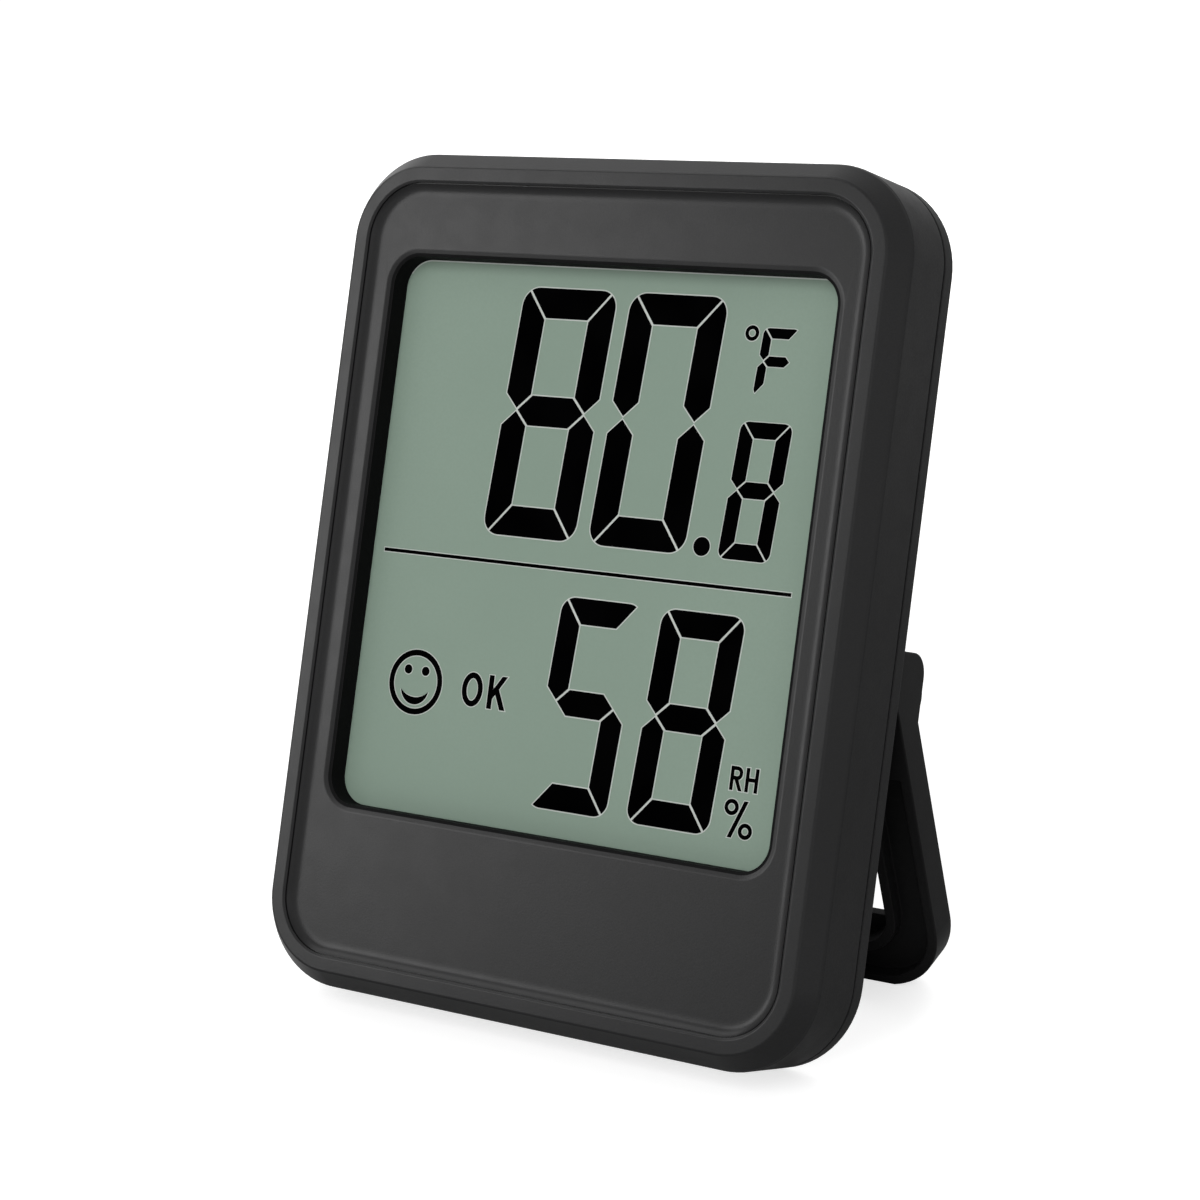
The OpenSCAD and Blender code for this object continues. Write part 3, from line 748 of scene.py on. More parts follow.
@dataclass(frozen=True)
class FrontCase:
    """Front shell: side wall, bevel, raised rim, cove, recessed panel and window.

    Each rounding gives the width and the steps of a softened edge.
    """

    outline: Outline = Outline(width=60.0, height=79.4, corner=8.5)
    wall: float = 1.8
    seam: float = 8.0
    bevel_side: float = 1.55
    bevel_depth: float = 2.0
    rim: float = 1.3
    rim_edge: float = 0.2
    rim_edge_depth: float = 0.12
    groove: float = 0.12
    groove_depth: float = 0.34
    cove: float = 1.5
    cove_lip: float = 0.02
    cove_steps: int = 14
    cove_power: float = 3.4
    panel_depth: float = 0.7
    window: Outline = Outline(width=49.2, height=53.5, corner=3.4, middle=(0.0, 3.7))
    window_bevel: float = 0.7
    window_rim_depth: float = 0.9
    display_depth: float = 3.04
    side_rounding: tuple[float, int] = (0.25, 6)
    bevel_rounding: tuple[float, int] = (0.16, 6)
    rim_rounding: tuple[float, int] = (0.07, 4)
    window_rounding: tuple[float, int] = (0.1, 3)
    wall_rounding: tuple[float, int] = (0.06, 8)
    join_reach: float = 0.08
    upright_limit: float = 0.3
    side_reach: float = 0.1
    piece: Piece = Piece("front_shell", Body.HOUSING, "case_plastic", crease=13.0, replaced="front_case")

    def step(self, mesh: BMesh, face: BMFace, inward: float, depth: float) -> BMFace:
        """Draw a face in and set it at a depth, with a band of new faces round it.

        Args:
            mesh: The mesh.
            face: The face to draw in.
            inward: How far it is drawn in on every side.
            depth: The depth at which it ends.

        Returns:
            The drawn face.
        """
        if inward > 0:
            draw_in(mesh, face, inward)
        else:
            drawn = bmesh.ops.extrude_face_region(mesh, geom=[face])["geom"]
            new = next(item for item in drawn if isinstance(item, BMFace))
            if face.is_valid and face is not new:
                take_out(mesh, face)
            face = new
        shift = depth - face.verts[0].co.y
        bmesh.ops.translate(mesh, vec=(0.0, shift, 0.0), verts=face.verts[:])
        return face

    def cove_depth(self, inward: float) -> float:
        """Return the depth of the cove at a distance from the rim's foot."""
        rise = self.panel_depth - self.cove_lip
        return self.panel_depth - rise * (1.0 - inward / self.cove) ** self.cove_power

    def front(self, mesh: BMesh) -> BMFace:
        """Build the side wall, bevel, rim and cove.

        Args:
            mesh: The mesh to add to.

        Returns:
            The panel's face inside the cove.
        """
        face = self.outline.plate(mesh, self.bevel_depth)
        self.outline.draw_ring(mesh, face.edges[:], self.outline, self.seam)
        steps = [
            (self.bevel_side, 0.0),
            (self.rim, 0.0),
            (self.rim_edge, self.rim_edge_depth),
            (0.0, self.groove_depth),
            (self.groove, self.groove_depth),
            (0.0, self.cove_depth(self.groove)),
        ]
        stride = (self.cove - self.groove) / self.cove_steps
        for number in range(1, self.cove_steps + 1):
            steps.append((stride, self.cove_depth(self.groove + number * stride)))
        for inward, depth in steps:
            face = self.step(mesh, face, inward, depth)
        return face

    def opening(self, mesh: BMesh, panel: BMFace) -> list[BMEdge]:
        """Join the panel to the window and build the window's bevel and wall.

        Args:
            mesh: The mesh to add to.
            panel: The panel's face.

        Returns:
            The edges of the window's opening behind the wall.
        """
        panel_outline = self.outline.inside(self.bevel_side + self.rim + self.rim_edge + self.cove)
        ring = panel.edges[:]
        take_out(mesh, panel)
        ring = panel_outline.draw_ring(mesh, ring, self.window, self.panel_depth)
        face = bmesh.ops.contextual_create(mesh, geom=ring)["faces"][0]
        face = self.step(mesh, face, self.window_bevel, self.window_rim_depth)
        face = self.step(mesh, face, 0.0, self.display_depth)
        edges = face.edges[:]
        take_out(mesh, face)
        return edges

    def inside(self, mesh: BMesh, opening: list[BMEdge]) -> None:
        """Close the shell with its inner faces.

        Args:
            mesh: The mesh to add to.
            opening: The edges of the window's opening.
        """
        inner = self.outline.inside(self.wall)
        ring = self.outline.edges_at(mesh, 0.0, self.seam)
        ring = self.outline.draw_ring(mesh, ring, inner, self.seam)
        ring = inner.draw_ring(mesh, ring, inner, self.display_depth)
        ring = inner.draw_ring(mesh, ring, self.window.inside(self.window_bevel), self.display_depth)
        ends = dict.fromkeys(vert for edge in opening + ring for vert in edge.verts)
        bmesh.ops.remove_doubles(mesh, verts=list(ends), dist=self.join_reach)
        bmesh.ops.recalc_face_normals(mesh, faces=mesh.faces[:])

    def round_edges(self, mesh: BMesh) -> None:
        """Round off the edges of the bevel, the rim and the window.

        Args:
            mesh: The mesh of the closed shell.
        """
        roundings = (
            (self.outline, 0.0, self.bevel_depth, self.side_rounding),
            (self.outline, self.bevel_side, 0.0, self.bevel_rounding),
            (self.outline, self.bevel_side + self.rim, 0.0, self.rim_rounding),
            (self.window, 0.0, self.panel_depth, self.window_rounding),
            (self.window, self.window_bevel, self.window_rim_depth, self.wall_rounding),
        )
        for outline, inset, depth, rounding in roundings:
            soften(mesh, outline.edges_at(mesh, inset, depth), *rounding)

    def mark_walls(self, mesh: BMesh) -> None:
        """Give the side wall the second finish and the window's wall the third, which is darker than the
        case plastic as painted shade in the recess.

        Args:
            mesh: The mesh of the rounded shell.
        """
        mesh.normal_update()
        for face in mesh.faces:
            middle = face.calc_center_median()
            upright = abs(face.normal.y) < self.upright_limit
            if upright and self.outline.inset_of(middle) < self.side_reach:
                face.material_index = 1
            # The window's wall takes the darker finish, painted shade in the recess
            elif upright and self.window_rim_depth < middle.y < self.display_depth:
                face.material_index = 2

    def build(self, front: Material, side: Material, well: Material) -> None:
        """Build the shell and put it in place of the CAD node.

        Args:
            front: Finish of the front.
            side: Finish of the side wall.
            well: Finish of the window's wall, darker as painted shade in the recess.
        """
        mesh = bmesh.new()
        panel = self.front(mesh)
        self.inside(mesh, self.opening(mesh, panel))
        self.round_edges(mesh)
        self.mark_walls(mesh)
        bmesh.ops.transform(mesh, matrix=PLACE, verts=mesh.verts[:])
        bmesh.ops.recalc_face_normals(mesh, faces=mesh.faces[:])
        self.piece.finish(mesh, front, side, well)


@dataclass(frozen=True)
class SoftNode:
    """A CAD node shown with its edges rounded off, and with its own finish on what faces backwards, whose
    lighter tone is partly painted light.

    Edges that turn by more than the edge angle, in degrees, are rounded.
    """

    node: str
    name: str
    body: Body
    slot: str
    width: float
    steps: int = 2
    edge_angle: float = 40.0
    flat_angle: float = 0.2
    join_reach: float = 0.002
    backward_share: float = 0.75
    crease: float = 45.0

    def rounded_copy(self) -> BMesh:
        """Copy the node's mesh, join its triangles and round off its edges.

        Returns:
            The new mesh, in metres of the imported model.
        """
        mesh = bmesh.new()
        mesh.from_mesh(frame["nodes"][self.node].data)
        bmesh.ops.remove_doubles(mesh, verts=mesh.verts[:], dist=self.join_reach * MM)
        bmesh.ops.dissolve_limit(
            mesh, angle_limit=math.radians(self.flat_angle), verts=mesh.verts[:], edges=mesh.edges[:],
            delimit={"NORMAL"},
        )
        limit = math.radians(self.edge_angle)
        edges = [edge for edge in mesh.edges if edge.is_manifold and edge.calc_face_angle() > limit]
        soften(mesh, edges, self.width * MM, self.steps, clamp=False)
        bmesh.ops.dissolve_degenerate(mesh, dist=SAME_PLACE * MM, edges=mesh.edges[:])
        return mesh

    def build(self, *finishes: Material) -> None:
        """Build the rounded copy in place of the node.

        Args:
            finishes: Finish of the piece and, if there is a second one, of the faces that face backwards.
        """
        mesh = self.rounded_copy()
        backward = (PLACE.to_3x3() @ Vector((0.0, 1.0, 0.0))).normalized()
        mesh.normal_update()
        # Backward faces take the second finish, whose tone, lighter than the front and stand plastic, is
        # partly painted light on the back
        for face in mesh.faces:
            if len(finishes) > 1 and face.normal.dot(backward) > self.backward_share:
                face.material_index = 1
        Piece(self.name, self.body, self.slot, self.crease, self.node).finish(mesh, *finishes)


@dataclass(frozen=True)
class BackMarks:
    """Raised marks on the back that show how far the battery door turns."""

    axis_height: float = -18.0
    back_depth: float = 10.1
    door_depth: float = 10.0
    turn: float = 40.0
    mark_reach: float = 14.3
    mark_radius: float = 0.62
    ring_stroke: float = 0.26
    pointer_reach: float = 10.3
    pointer_half: float = 0.66
    pointer_length: float = 1.15
    raised: float = 0.04
    crease: float = 30.0

    def at(self, reach: float, turn: float) -> Point:
        """Return the point at a distance from the door's axis, at an angle from straight up."""
        angle = math.radians(turn)
        return (reach * math.sin(angle), self.axis_height + reach * math.cos(angle))

    def build(self, finish: Material) -> None:
        """Build the closed mark, the open mark and the pointer on the door.

        Args:
            finish: Finish of the marks.
        """
        marks = bmesh.new()
        round_disc(marks, self.mark_radius, self.at(self.mark_reach, 0.0), self.back_depth)
        part = bmesh.new()
        disc = round_disc(part, self.mark_radius, self.at(self.mark_reach, self.turn), self.back_depth)
        hollow_out(part, disc, self.ring_stroke)
        add_flat(marks, part)
        turn_marks = Piece("turn_marks", Body.HOUSING, "case_plastic", self.crease)
        turn_marks.raise_flat(marks, -self.raised, finish)
        # A disc with three corners gives the pointer's triangle
        pointer = bmesh.new()
        round_disc(pointer, 1.0, (0.0, 0.0), 0.0, steps=3)
        bmesh.ops.scale(pointer, vec=(self.pointer_half, 1.0, self.pointer_length), verts=pointer.verts[:])
        across, height = self.at(self.pointer_reach, 0.0)
        bmesh.ops.translate(pointer, vec=(across, self.door_depth, height), verts=pointer.verts[:])
        door_pointer = Piece("door_pointer", Body.DOOR, "case_plastic", self.crease)
        door_pointer.raise_flat(pointer, -self.raised, finish)


# Display


class Segment(Enum):
    """The seven bars of a digit: 1 for left, -1 for right and 1 for upper, -1 for lower."""

    TOP = (0, 1)
    UPPER_LEFT = (1, 1)
    UPPER_RIGHT = (-1, 1)
    MIDDLE = (0, 0)
    LOWER_LEFT = (1, -1)
    LOWER_RIGHT = (-1, -1)
    BOTTOM = (0, -1)


class Glyph(Enum):
    """Digits and letters that the bars can show."""

    EIGHT = tuple(Segment)
    ZERO = tuple(segment for segment in Segment if segment is not Segment.MIDDLE)
    FIVE = (Segment.TOP, Segment.UPPER_LEFT, Segment.MIDDLE, Segment.LOWER_RIGHT, Segment.BOTTOM)
    LETTER_F = (Segment.TOP, Segment.UPPER_LEFT, Segment.MIDDLE, Segment.LOWER_LEFT)


@dataclass(frozen=True)
class BarStyle:
    """Size of a digit and of its leaning bars with mitred ends."""

    width: float
    height: float
    flat_stroke: float
    tall_stroke: float
    corner: float
    gap: float = 0.22
    lean: float = 0.0617
    mitre: float = 0.15
    lift: float = 0.006

    def cuts(self, segment: Segment) -> list[tuple[Point, Point, bool]]:
        """List the straight cuts that leave one bar of the digit's outline.

        Args:
            segment: The bar.

        Returns:
            For each cut a point, the direction that is cut off and whether a gap lies along it.
        """
        side, up = segment.value
        middle = self.height * (0.5 + self.lift)
        edge = self.height if up > 0 else 0.0
        start = self.mitre * self.tall_stroke
        slope = Vector((self.tall_stroke - start, self.flat_stroke)).normalized()
        diagonal = math.sqrt(0.5)
        if side:
            outer = 0.0 if side > 0 else self.width
            tip = (outer + side * self.tall_stroke / 2, middle)
            return [
                ((outer + side * self.tall_stroke, 0.0), (side, 0.0), False),
                ((outer + side * start, edge), (side * slope.y, up * slope.x), True),
                (tip, (diagonal, -up * diagonal), True),
                (tip, (-diagonal, -up * diagonal), True),
            ]
        if up:
            return [
                ((0.0, edge - up * self.flat_stroke), (0.0, -up), False),
                ((start, edge), (-slope.y, -up * slope.x), True),
                ((self.width - start, edge), (slope.y, -up * slope.x), True),
            ]
        cuts = []
        for turn in (1, -1):
            cuts.append(((self.tall_stroke / 2, middle), (-diagonal, turn * diagonal), True))
            cuts.append(((self.width - self.tall_stroke / 2, middle), (diagonal, turn * diagonal), True))
            cuts.append(((0.0, middle + turn * self.flat_stroke / 2), (0.0, turn), False))
        return cuts


@dataclass(frozen=True)
class Digit:
    """One digit and the place of its lower left corner."""

    glyph: Glyph
    style: BarStyle
    left: float
    low: float

    def add(self, target: BMesh, depth: float, grow: float) -> None:
        """Add the lit bars as flat faces.

        Args:
            target: The mesh to add to.
            depth: Depth of the faces.
            grow: How far each bar grows beyond its drawn size.
        """
        style = self.style
        outline = Outline(style.width, style.height, style.corner, (style.width / 2, style.height / 2))
        place = Matrix.Translation((self.left, depth, self.low))
        place[0][2] = style.lean
        for segment in self.glyph.value:
            part = bmesh.new()
            outline.inside(-grow).plate(part, 0.0, BAR_CORNER_STEPS)
            for point, away, has_gap in style.cuts(segment):
                keep_side(part, point, away, grow - (style.gap / 2 if has_gap else 0.0))
            bmesh.ops.transform(part, matrix=place, verts=part.verts[:])
            add_flat(target, part)


def between(low: float, high: float) -> list[Cut]:
    """Return the cuts that keep what lies between two heights."""
    return [((0.0, high), (0.0, 1.0)), ((0.0, low), (0.0, -1.0))]


@dataclass(frozen=True)
class Pen:
    """Draws flat strokes into a mesh, at a depth and grown all round; points are x and z."""

    mesh: BMesh
    depth: float
    grow: float

    def dot(self, middle: Point, radius: float) -> None:
        """Draw a round dot."""
        round_disc(self.mesh, radius + self.grow, middle, self.depth)

    def ring(self, middle: Point, size: Point, stroke: float) -> None:
        """Draw a round or oval ring.

        Args:
            middle: Middle of the ring.
            size: Width and height.
            stroke: Width of the stroke.
        """
        part = bmesh.new()
        disc = round_disc(part, 1.0, (0.0, 0.0), 0.0)
        wide, tall = (value / 2 + self.grow for value in size)
        bmesh.ops.scale(part, vec=(wide, 1.0, tall), verts=part.verts[:])
        bmesh.ops.translate(part, vec=(middle[0], self.depth, middle[1]), verts=part.verts[:])
        hollow_out(part, disc, stroke + 2 * self.grow)
        add_flat(self.mesh, part)

    def bar(self, start: Point, end: Point, stroke: float, cuts: list[Cut] | None = None) -> None:
        """Draw a straight bar between two points.

        Args:
            start: First end.
            end: Second end.
            stroke: Width of the bar.
            cuts: Cuts, each a point and the direction that is cut off.
        """
        part = bmesh.new()
        run = Vector(end) - Vector(start)
        middle = (Vector(start) + Vector(end)) / 2
        Outline(stroke + 2 * self.grow, run.length + 2 * self.grow, 0.0).plate(part, 0.0)
        turn = Matrix.Rotation(math.atan2(run.x, run.y), 4, "Y")
        place = Matrix.Translation((middle.x, self.depth, middle.y)) @ turn
        bmesh.ops.transform(part, matrix=place, verts=part.verts[:])
        for point, away in cuts or []:
            keep_side(part, point, away, self.grow)
        add_flat(self.mesh, part)

    def stem(self, left: float, low: float, high: float, stroke: float) -> None:
        """Draw an upright bar from its left edge."""
        self.bar((left + stroke / 2, low), (left + stroke / 2, high), stroke)

    def bowl(self, outline: Outline, stroke: float, left_end: float) -> None:
        """Draw a ring with round corners that is cut off on its left.

        Args:
            outline: Outer outline of the ring.
            stroke: Width of the stroke.
            left_end: Where the ring is cut off.
        """
        part = bmesh.new()
        plate = outline.inside(-self.grow).plate(part, self.depth, BOWL_CORNER_STEPS)
        hollow_out(part, plate, stroke + 2 * self.grow)
        keep_side(part, (left_end, 0.0), (-1.0, 0.0))
        add_flat(self.mesh, part)

    def smile(self, middle: Point, half: float, sag: float, thick: float) -> None:
        """Draw a crescent that opens upwards.

        Args:
            middle: Point midway between its ends.
            half: Half the distance between its ends.
            sag: Depth of the lower arc below the ends.
            thick: Thickness in the middle.
        """
        part = bmesh.new()
        half, sag, thick = half + self.grow, sag + self.grow, thick + 2 * self.grow
        for drop in (sag, sag - thick):
            radius = (half**2 + drop**2) / (2 * drop)
            centre = Vector((middle[0], self.depth, middle[1] - drop + radius))
            first = bmesh.ops.create_vert(part, co=(middle[0] - half, self.depth, middle[1]))["vert"][0]
            bmesh.ops.spin(
                part, geom=[first], cent=centre, axis=(0, -1, 0), dvec=(0, 0, 0), steps=SMILE_STEPS,
                angle=2 * math.asin(half / radius), use_merge=False,
            )
        bmesh.ops.bridge_loops(part, edges=part.edges[:])
        bmesh.ops.remove_doubles(part, verts=part.verts[:], dist=SAME_PLACE)
        add_flat(self.mesh, part)


class Signs(Pen):
    """The display's signs besides its digits."""

    def plain(self) -> None:
        """Draw the dividing line, the decimal point and the degree ring."""
        self.bar(start=(-22.6, 1.98), end=(21.75, 1.98), stroke=0.33)
        self.dot(middle=(12.125, 5.375), radius=0.854)
        self.ring(middle=(14.54, 24.63), size=(1.40, 1.40), stroke=0.35)

    def comfort(self) -> None:
        """Draw the round comfort sign: a ring with two dots and a curve."""
        x, z = -17.04, -10.125
        eye_across, eye_lift = 1.0, 1.125
        self.ring(middle=(x, z), size=(6.12, 6.12), stroke=0.56)
        for side in (-1, 1):
            self.dot(middle=(x + side * eye_across, z + eye_lift), radius=0.44)
        self.smile(middle=(x, -10.9), half=1.58, sag=1.34, thick=0.70)

    def word_ok(self) -> None:
        """Draw the word OK; the K's arm starts at its stem and its leg at the arm."""
        low, high, stroke, overshoot = -11.63, -8.5, 0.54, 0.06
        stem, arm_share = -8.71, 0.92
        arm_stroke = arm_share * stroke
        arm_from, arm_to = Vector((-8.51, -10.75)), Vector((-6.70, -8.10))
        self.ring(middle=(-10.5, (low + high) / 2), size=(2.34, high - low + overshoot), stroke=stroke)
        self.stem(stem, low, high, stroke)
        cuts = [((stem + stroke, 0.0), (-1.0, 0.0)), *between(low, high)]
        self.bar(arm_from, arm_to, arm_stroke, cuts)
        along = (arm_to - arm_from).normalized()
        below = Vector((along.y, -along.x))
        cuts.append((tuple(arm_from + below * arm_stroke / 2), tuple(-below)))
        self.bar(start=(-7.97, -9.4), end=(-6.78, -11.93), stroke=stroke, cuts=cuts)

    def letters_rh(self) -> None:
        """Draw the letters RH in thin strokes."""
        low, high, stroke, level = -15.58, -13.44, 0.345, -14.48
        r_left, h_left, h_right = 18.0, 19.55, 20.83
        bowl = Outline(width=1.45, height=1.2, corner=0.55, middle=(18.5, -14.04))
        for left in (r_left, h_left, h_right - stroke):
            self.stem(left, low, high, stroke)
        self.bowl(bowl, stroke, r_left + stroke + HAIRLINE)
        leg_cuts = between(low, high - bowl.height)
        self.bar(start=(18.5, -14.34), end=(19.2, -15.78), stroke=stroke, cuts=leg_cuts)
        self.bar((h_left + stroke, level), (h_right - stroke, level), stroke)

    def per_cent(self) -> None:
        """Draw the per cent sign."""
        self.ring(middle=(18.5, -17.04), size=(1.44, 1.44), stroke=0.37)
        self.ring(middle=(20.125, -19.0), size=(1.42, 1.42), stroke=0.37)
        self.bar(start=(20.0, -16.2), end=(18.5, -19.88), stroke=0.40, cuts=between(-19.7, -16.38))


@dataclass(frozen=True)
class Display:
    """Segments, pale segment edges and signs of the display in a case's window, with a painted highlight
    along the film's upper edge and a painted shadow on the window's bevel.
    """

    case: FrontCase
    edge_thick: float = 0.012
    ink_thick: float = 0.028
    # Painted highlight along the film's upper edge: its width and how far down the sides it reaches
    edge_highlight_width: float = 0.11
    edge_highlight_height: float = 1.4
    # Painted shadow on the window's bevel: the insets where the dark strip starts and ends, and its
    # thickness
    shadow_strip_from: float = 0.42
    shadow_strip_to: float = 0.69
    shadow_strip_thick: float = 0.012
    sign_edge: float = 0.08
    crease: float = 20.0
    large: BarStyle = BarStyle(width=10.25, height=23.17, flat_stroke=2.8, tall_stroke=2.7, corner=1.7)
    small: BarStyle = BarStyle(
        width=5.25, height=12.29, flat_stroke=1.46, tall_stroke=1.46, corner=0.85, gap=0.16
    )
    letter: BarStyle = BarStyle(
        width=3.65, height=6.0, flat_stroke=0.92, tall_stroke=0.90, corner=0.62, gap=0.15
    )
    humid: BarStyle = BarStyle(width=8.58, height=19.42, flat_stroke=2.37, tall_stroke=2.25, corner=1.4)
    large_low: float = 4.5
    humid_low: float = -19.875

    def digits(self) -> dict[str, tuple[Digit, ...]]:
        """List the digits of both readings.

        Returns:
            The digits by the name of the reading.
        """
        return {
            "temperature": (
                Digit(Glyph.EIGHT, self.large, left=-11.66, low=self.large_low),
                Digit(Glyph.ZERO, self.large, left=0.09, low=self.large_low),
                Digit(Glyph.EIGHT, self.small, left=13.84, low=self.large_low),
                Digit(Glyph.LETTER_F, self.letter, left=15.34, low=19.17),
            ),
            "humidity": (
                Digit(Glyph.FIVE, self.humid, left=-2.92, low=self.humid_low),
                Digit(Glyph.EIGHT, self.humid, left=7.83, low=self.humid_low),
            ),
        }

    def figures(self, reading: tuple[Digit, ...], pale: bool) -> BMesh:
        """Make the flat bars of a reading, or their pale edges, which fill the gaps.

        Args:
            reading: The digits.
            pale: Whether the pale edges are made.

        Returns:
            The flat bars.
        """
        mesh = bmesh.new()
        for digit in reading:
            digit.add(mesh, self.case.display_depth, digit.style.gap / 2 - HAIRLINE if pale else 0.0)
        return mesh

    def signs(self, grow: float) -> BMesh:
        """Make the flat signs.

        Args:
            grow: How far each stroke grows beyond its drawn size.

        Returns:
            The flat signs.
        """
        signs = Signs(bmesh.new(), self.case.display_depth, grow)
        for draw in (signs.plain, signs.comfort, signs.word_ok, signs.letters_rh, signs.per_cent):
            draw()
        return signs.mesh

    def film_edge_highlight(self) -> BMesh:
        """Make a painted highlight: the pale line round the upper edge of the film, where its cut edge
        catches the light.

        Returns:
            A flat strip.
        """
        mesh = bmesh.new()
        window = self.case.window.inside(self.case.window_bevel)
        hollow_out(mesh, window.plate(mesh, self.case.display_depth), self.edge_highlight_width)
        top = window.middle[1] + window.height / 2
        keep_side(mesh, (0.0, top - self.edge_highlight_height), (0.0, -1.0))
        return mesh

    def shadow_strip(self) -> BMesh:
        """Make the painted shadow: a dark strip on the inner part of the window's bevel, for the shade in
        the gap between the bevel and the film.

        Returns:
            A flat ring that slopes as the bevel does.
        """
        case = self.case
        slope = (case.window_rim_depth - case.panel_depth) / case.window_bevel
        depth = case.panel_depth + slope * self.shadow_strip_from - self.shadow_strip_thick / 2
        reach = self.shadow_strip_to - self.shadow_strip_from
        mesh = bmesh.new()
        face = case.window.inside(self.shadow_strip_from).plate(mesh, depth)
        draw_in(mesh, face, reach)
        bmesh.ops.translate(mesh, vec=(0.0, slope * reach, 0.0), verts=face.verts[:])
        take_out(mesh, face)
        return mesh

    def build(self, ink: Material, edge: Material, well: Material) -> None:
        """Build the segments, their pale edges, the signs, the painted highlight along the film's upper edge
        and the painted shadow on the window's bevel.

        Args:
            ink: Finish of the segments and signs.
            edge: Finish of the pale edges.
            well: Finish of the painted shadow on the window's bevel.
        """
        rows = []
        for name, reading in self.digits().items():
            rows.append((f"{name}_segment_edges", self.figures(reading, True), self.edge_thick, edge))
            rows.append((f"{name}_segments", self.figures(reading, False), self.ink_thick, ink))
        # The pale line along the film's upper edge is a painted highlight
        rows.append(("film_edge_highlight", self.film_edge_highlight(), self.edge_thick, edge))
        # The dark strip on the window's bevel is painted shadow
        rows.append(("window_shadow_strip", self.shadow_strip(), self.shadow_strip_thick, well))
        rows.append(("sign_edges", self.signs(self.sign_edge), self.edge_thick, edge))
        rows.append(("display_signs", self.signs(0.0), self.ink_thick, ink))
        for name, flat, thick, finish in rows:
            Piece(name, Body.HOUSING, "display_face", self.crease).raise_flat(flat, thick, finish)


# Studio


class Reach(Enum):
    """What a lamp lights, gloss or matte colour: its visibility to diffuse and to glossy rays."""

    GLOSS = (False, True)
    COLOUR = (True, False)


@dataclass(frozen=True)
class SoftLight:
    """Rectangular soft light that points at the object's middle, in degrees, metres and watts."""

    name: str
    azimuth: float
    elevation: float
    distance: float
    width: float
    height: float
    power: float
    reach: Reach

    def build(self, target: Vector) -> None:
        """Make the light.

        Args:
            target: Point that the light faces.
        """
        lamp = bpy.data.lights.new(self.name, "AREA")
        lamp.shape = "RECTANGLE"
        lamp.size = self.width
        lamp.size_y = self.height
        lamp.energy = self.power
        light = bpy.data.objects.new(self.name, lamp)
        azimuth, elevation = math.radians(self.azimuth), math.radians(self.elevation)
        flat = math.cos(elevation)
        away = Vector((math.sin(azimuth) * flat, -math.cos(azimuth) * flat, math.sin(elevation)))
        light.visible_diffuse, light.visible_glossy = self.reach.value
        light.location = target + away * self.distance
        light.rotation_euler = away.to_track_quat("Z", "Y").to_euler()
        bpy.context.scene.collection.objects.link(light)


@dataclass(frozen=True)
class Camera:
    """Camera at the photograph's viewing angle, in millimetres and degrees."""

    target: tuple[float, float, float] = (4.147, -5.097, 40.026)
    azimuth: float = 34.3207
    elevation: float = 17.2172
    roll: float = 4.6065
    distance: float = 266.27
    lens: float = 89.39
    sensor_width: float = 36.0
    clip_start: float = 10.0

    def build(self) -> None:
        """Make the camera and set it as the scene's camera."""
        data = bpy.data.cameras.new("camera")
        data.lens = self.lens
        data.sensor_width = self.sensor_width
        data.clip_start = self.clip_start * MM
        camera = bpy.data.objects.new("camera", data)
        turn = (
            Matrix.Rotation(math.radians(self.azimuth), 4, "Z")
            @ Matrix.Rotation(math.radians(90.0 - self.elevation), 4, "X")
            @ Matrix.Rotation(math.radians(-self.roll), 4, "Z")
        )
        back = turn.to_3x3() @ Vector((0.0, 0.0, 1.0))
        place = (Vector(self.target) + back * self.distance) * MM
        camera.matrix_world = Matrix.Translation(place) @ turn
        bpy.context.scene.collection.objects.link(camera)
        bpy.context.scene.camera = camera


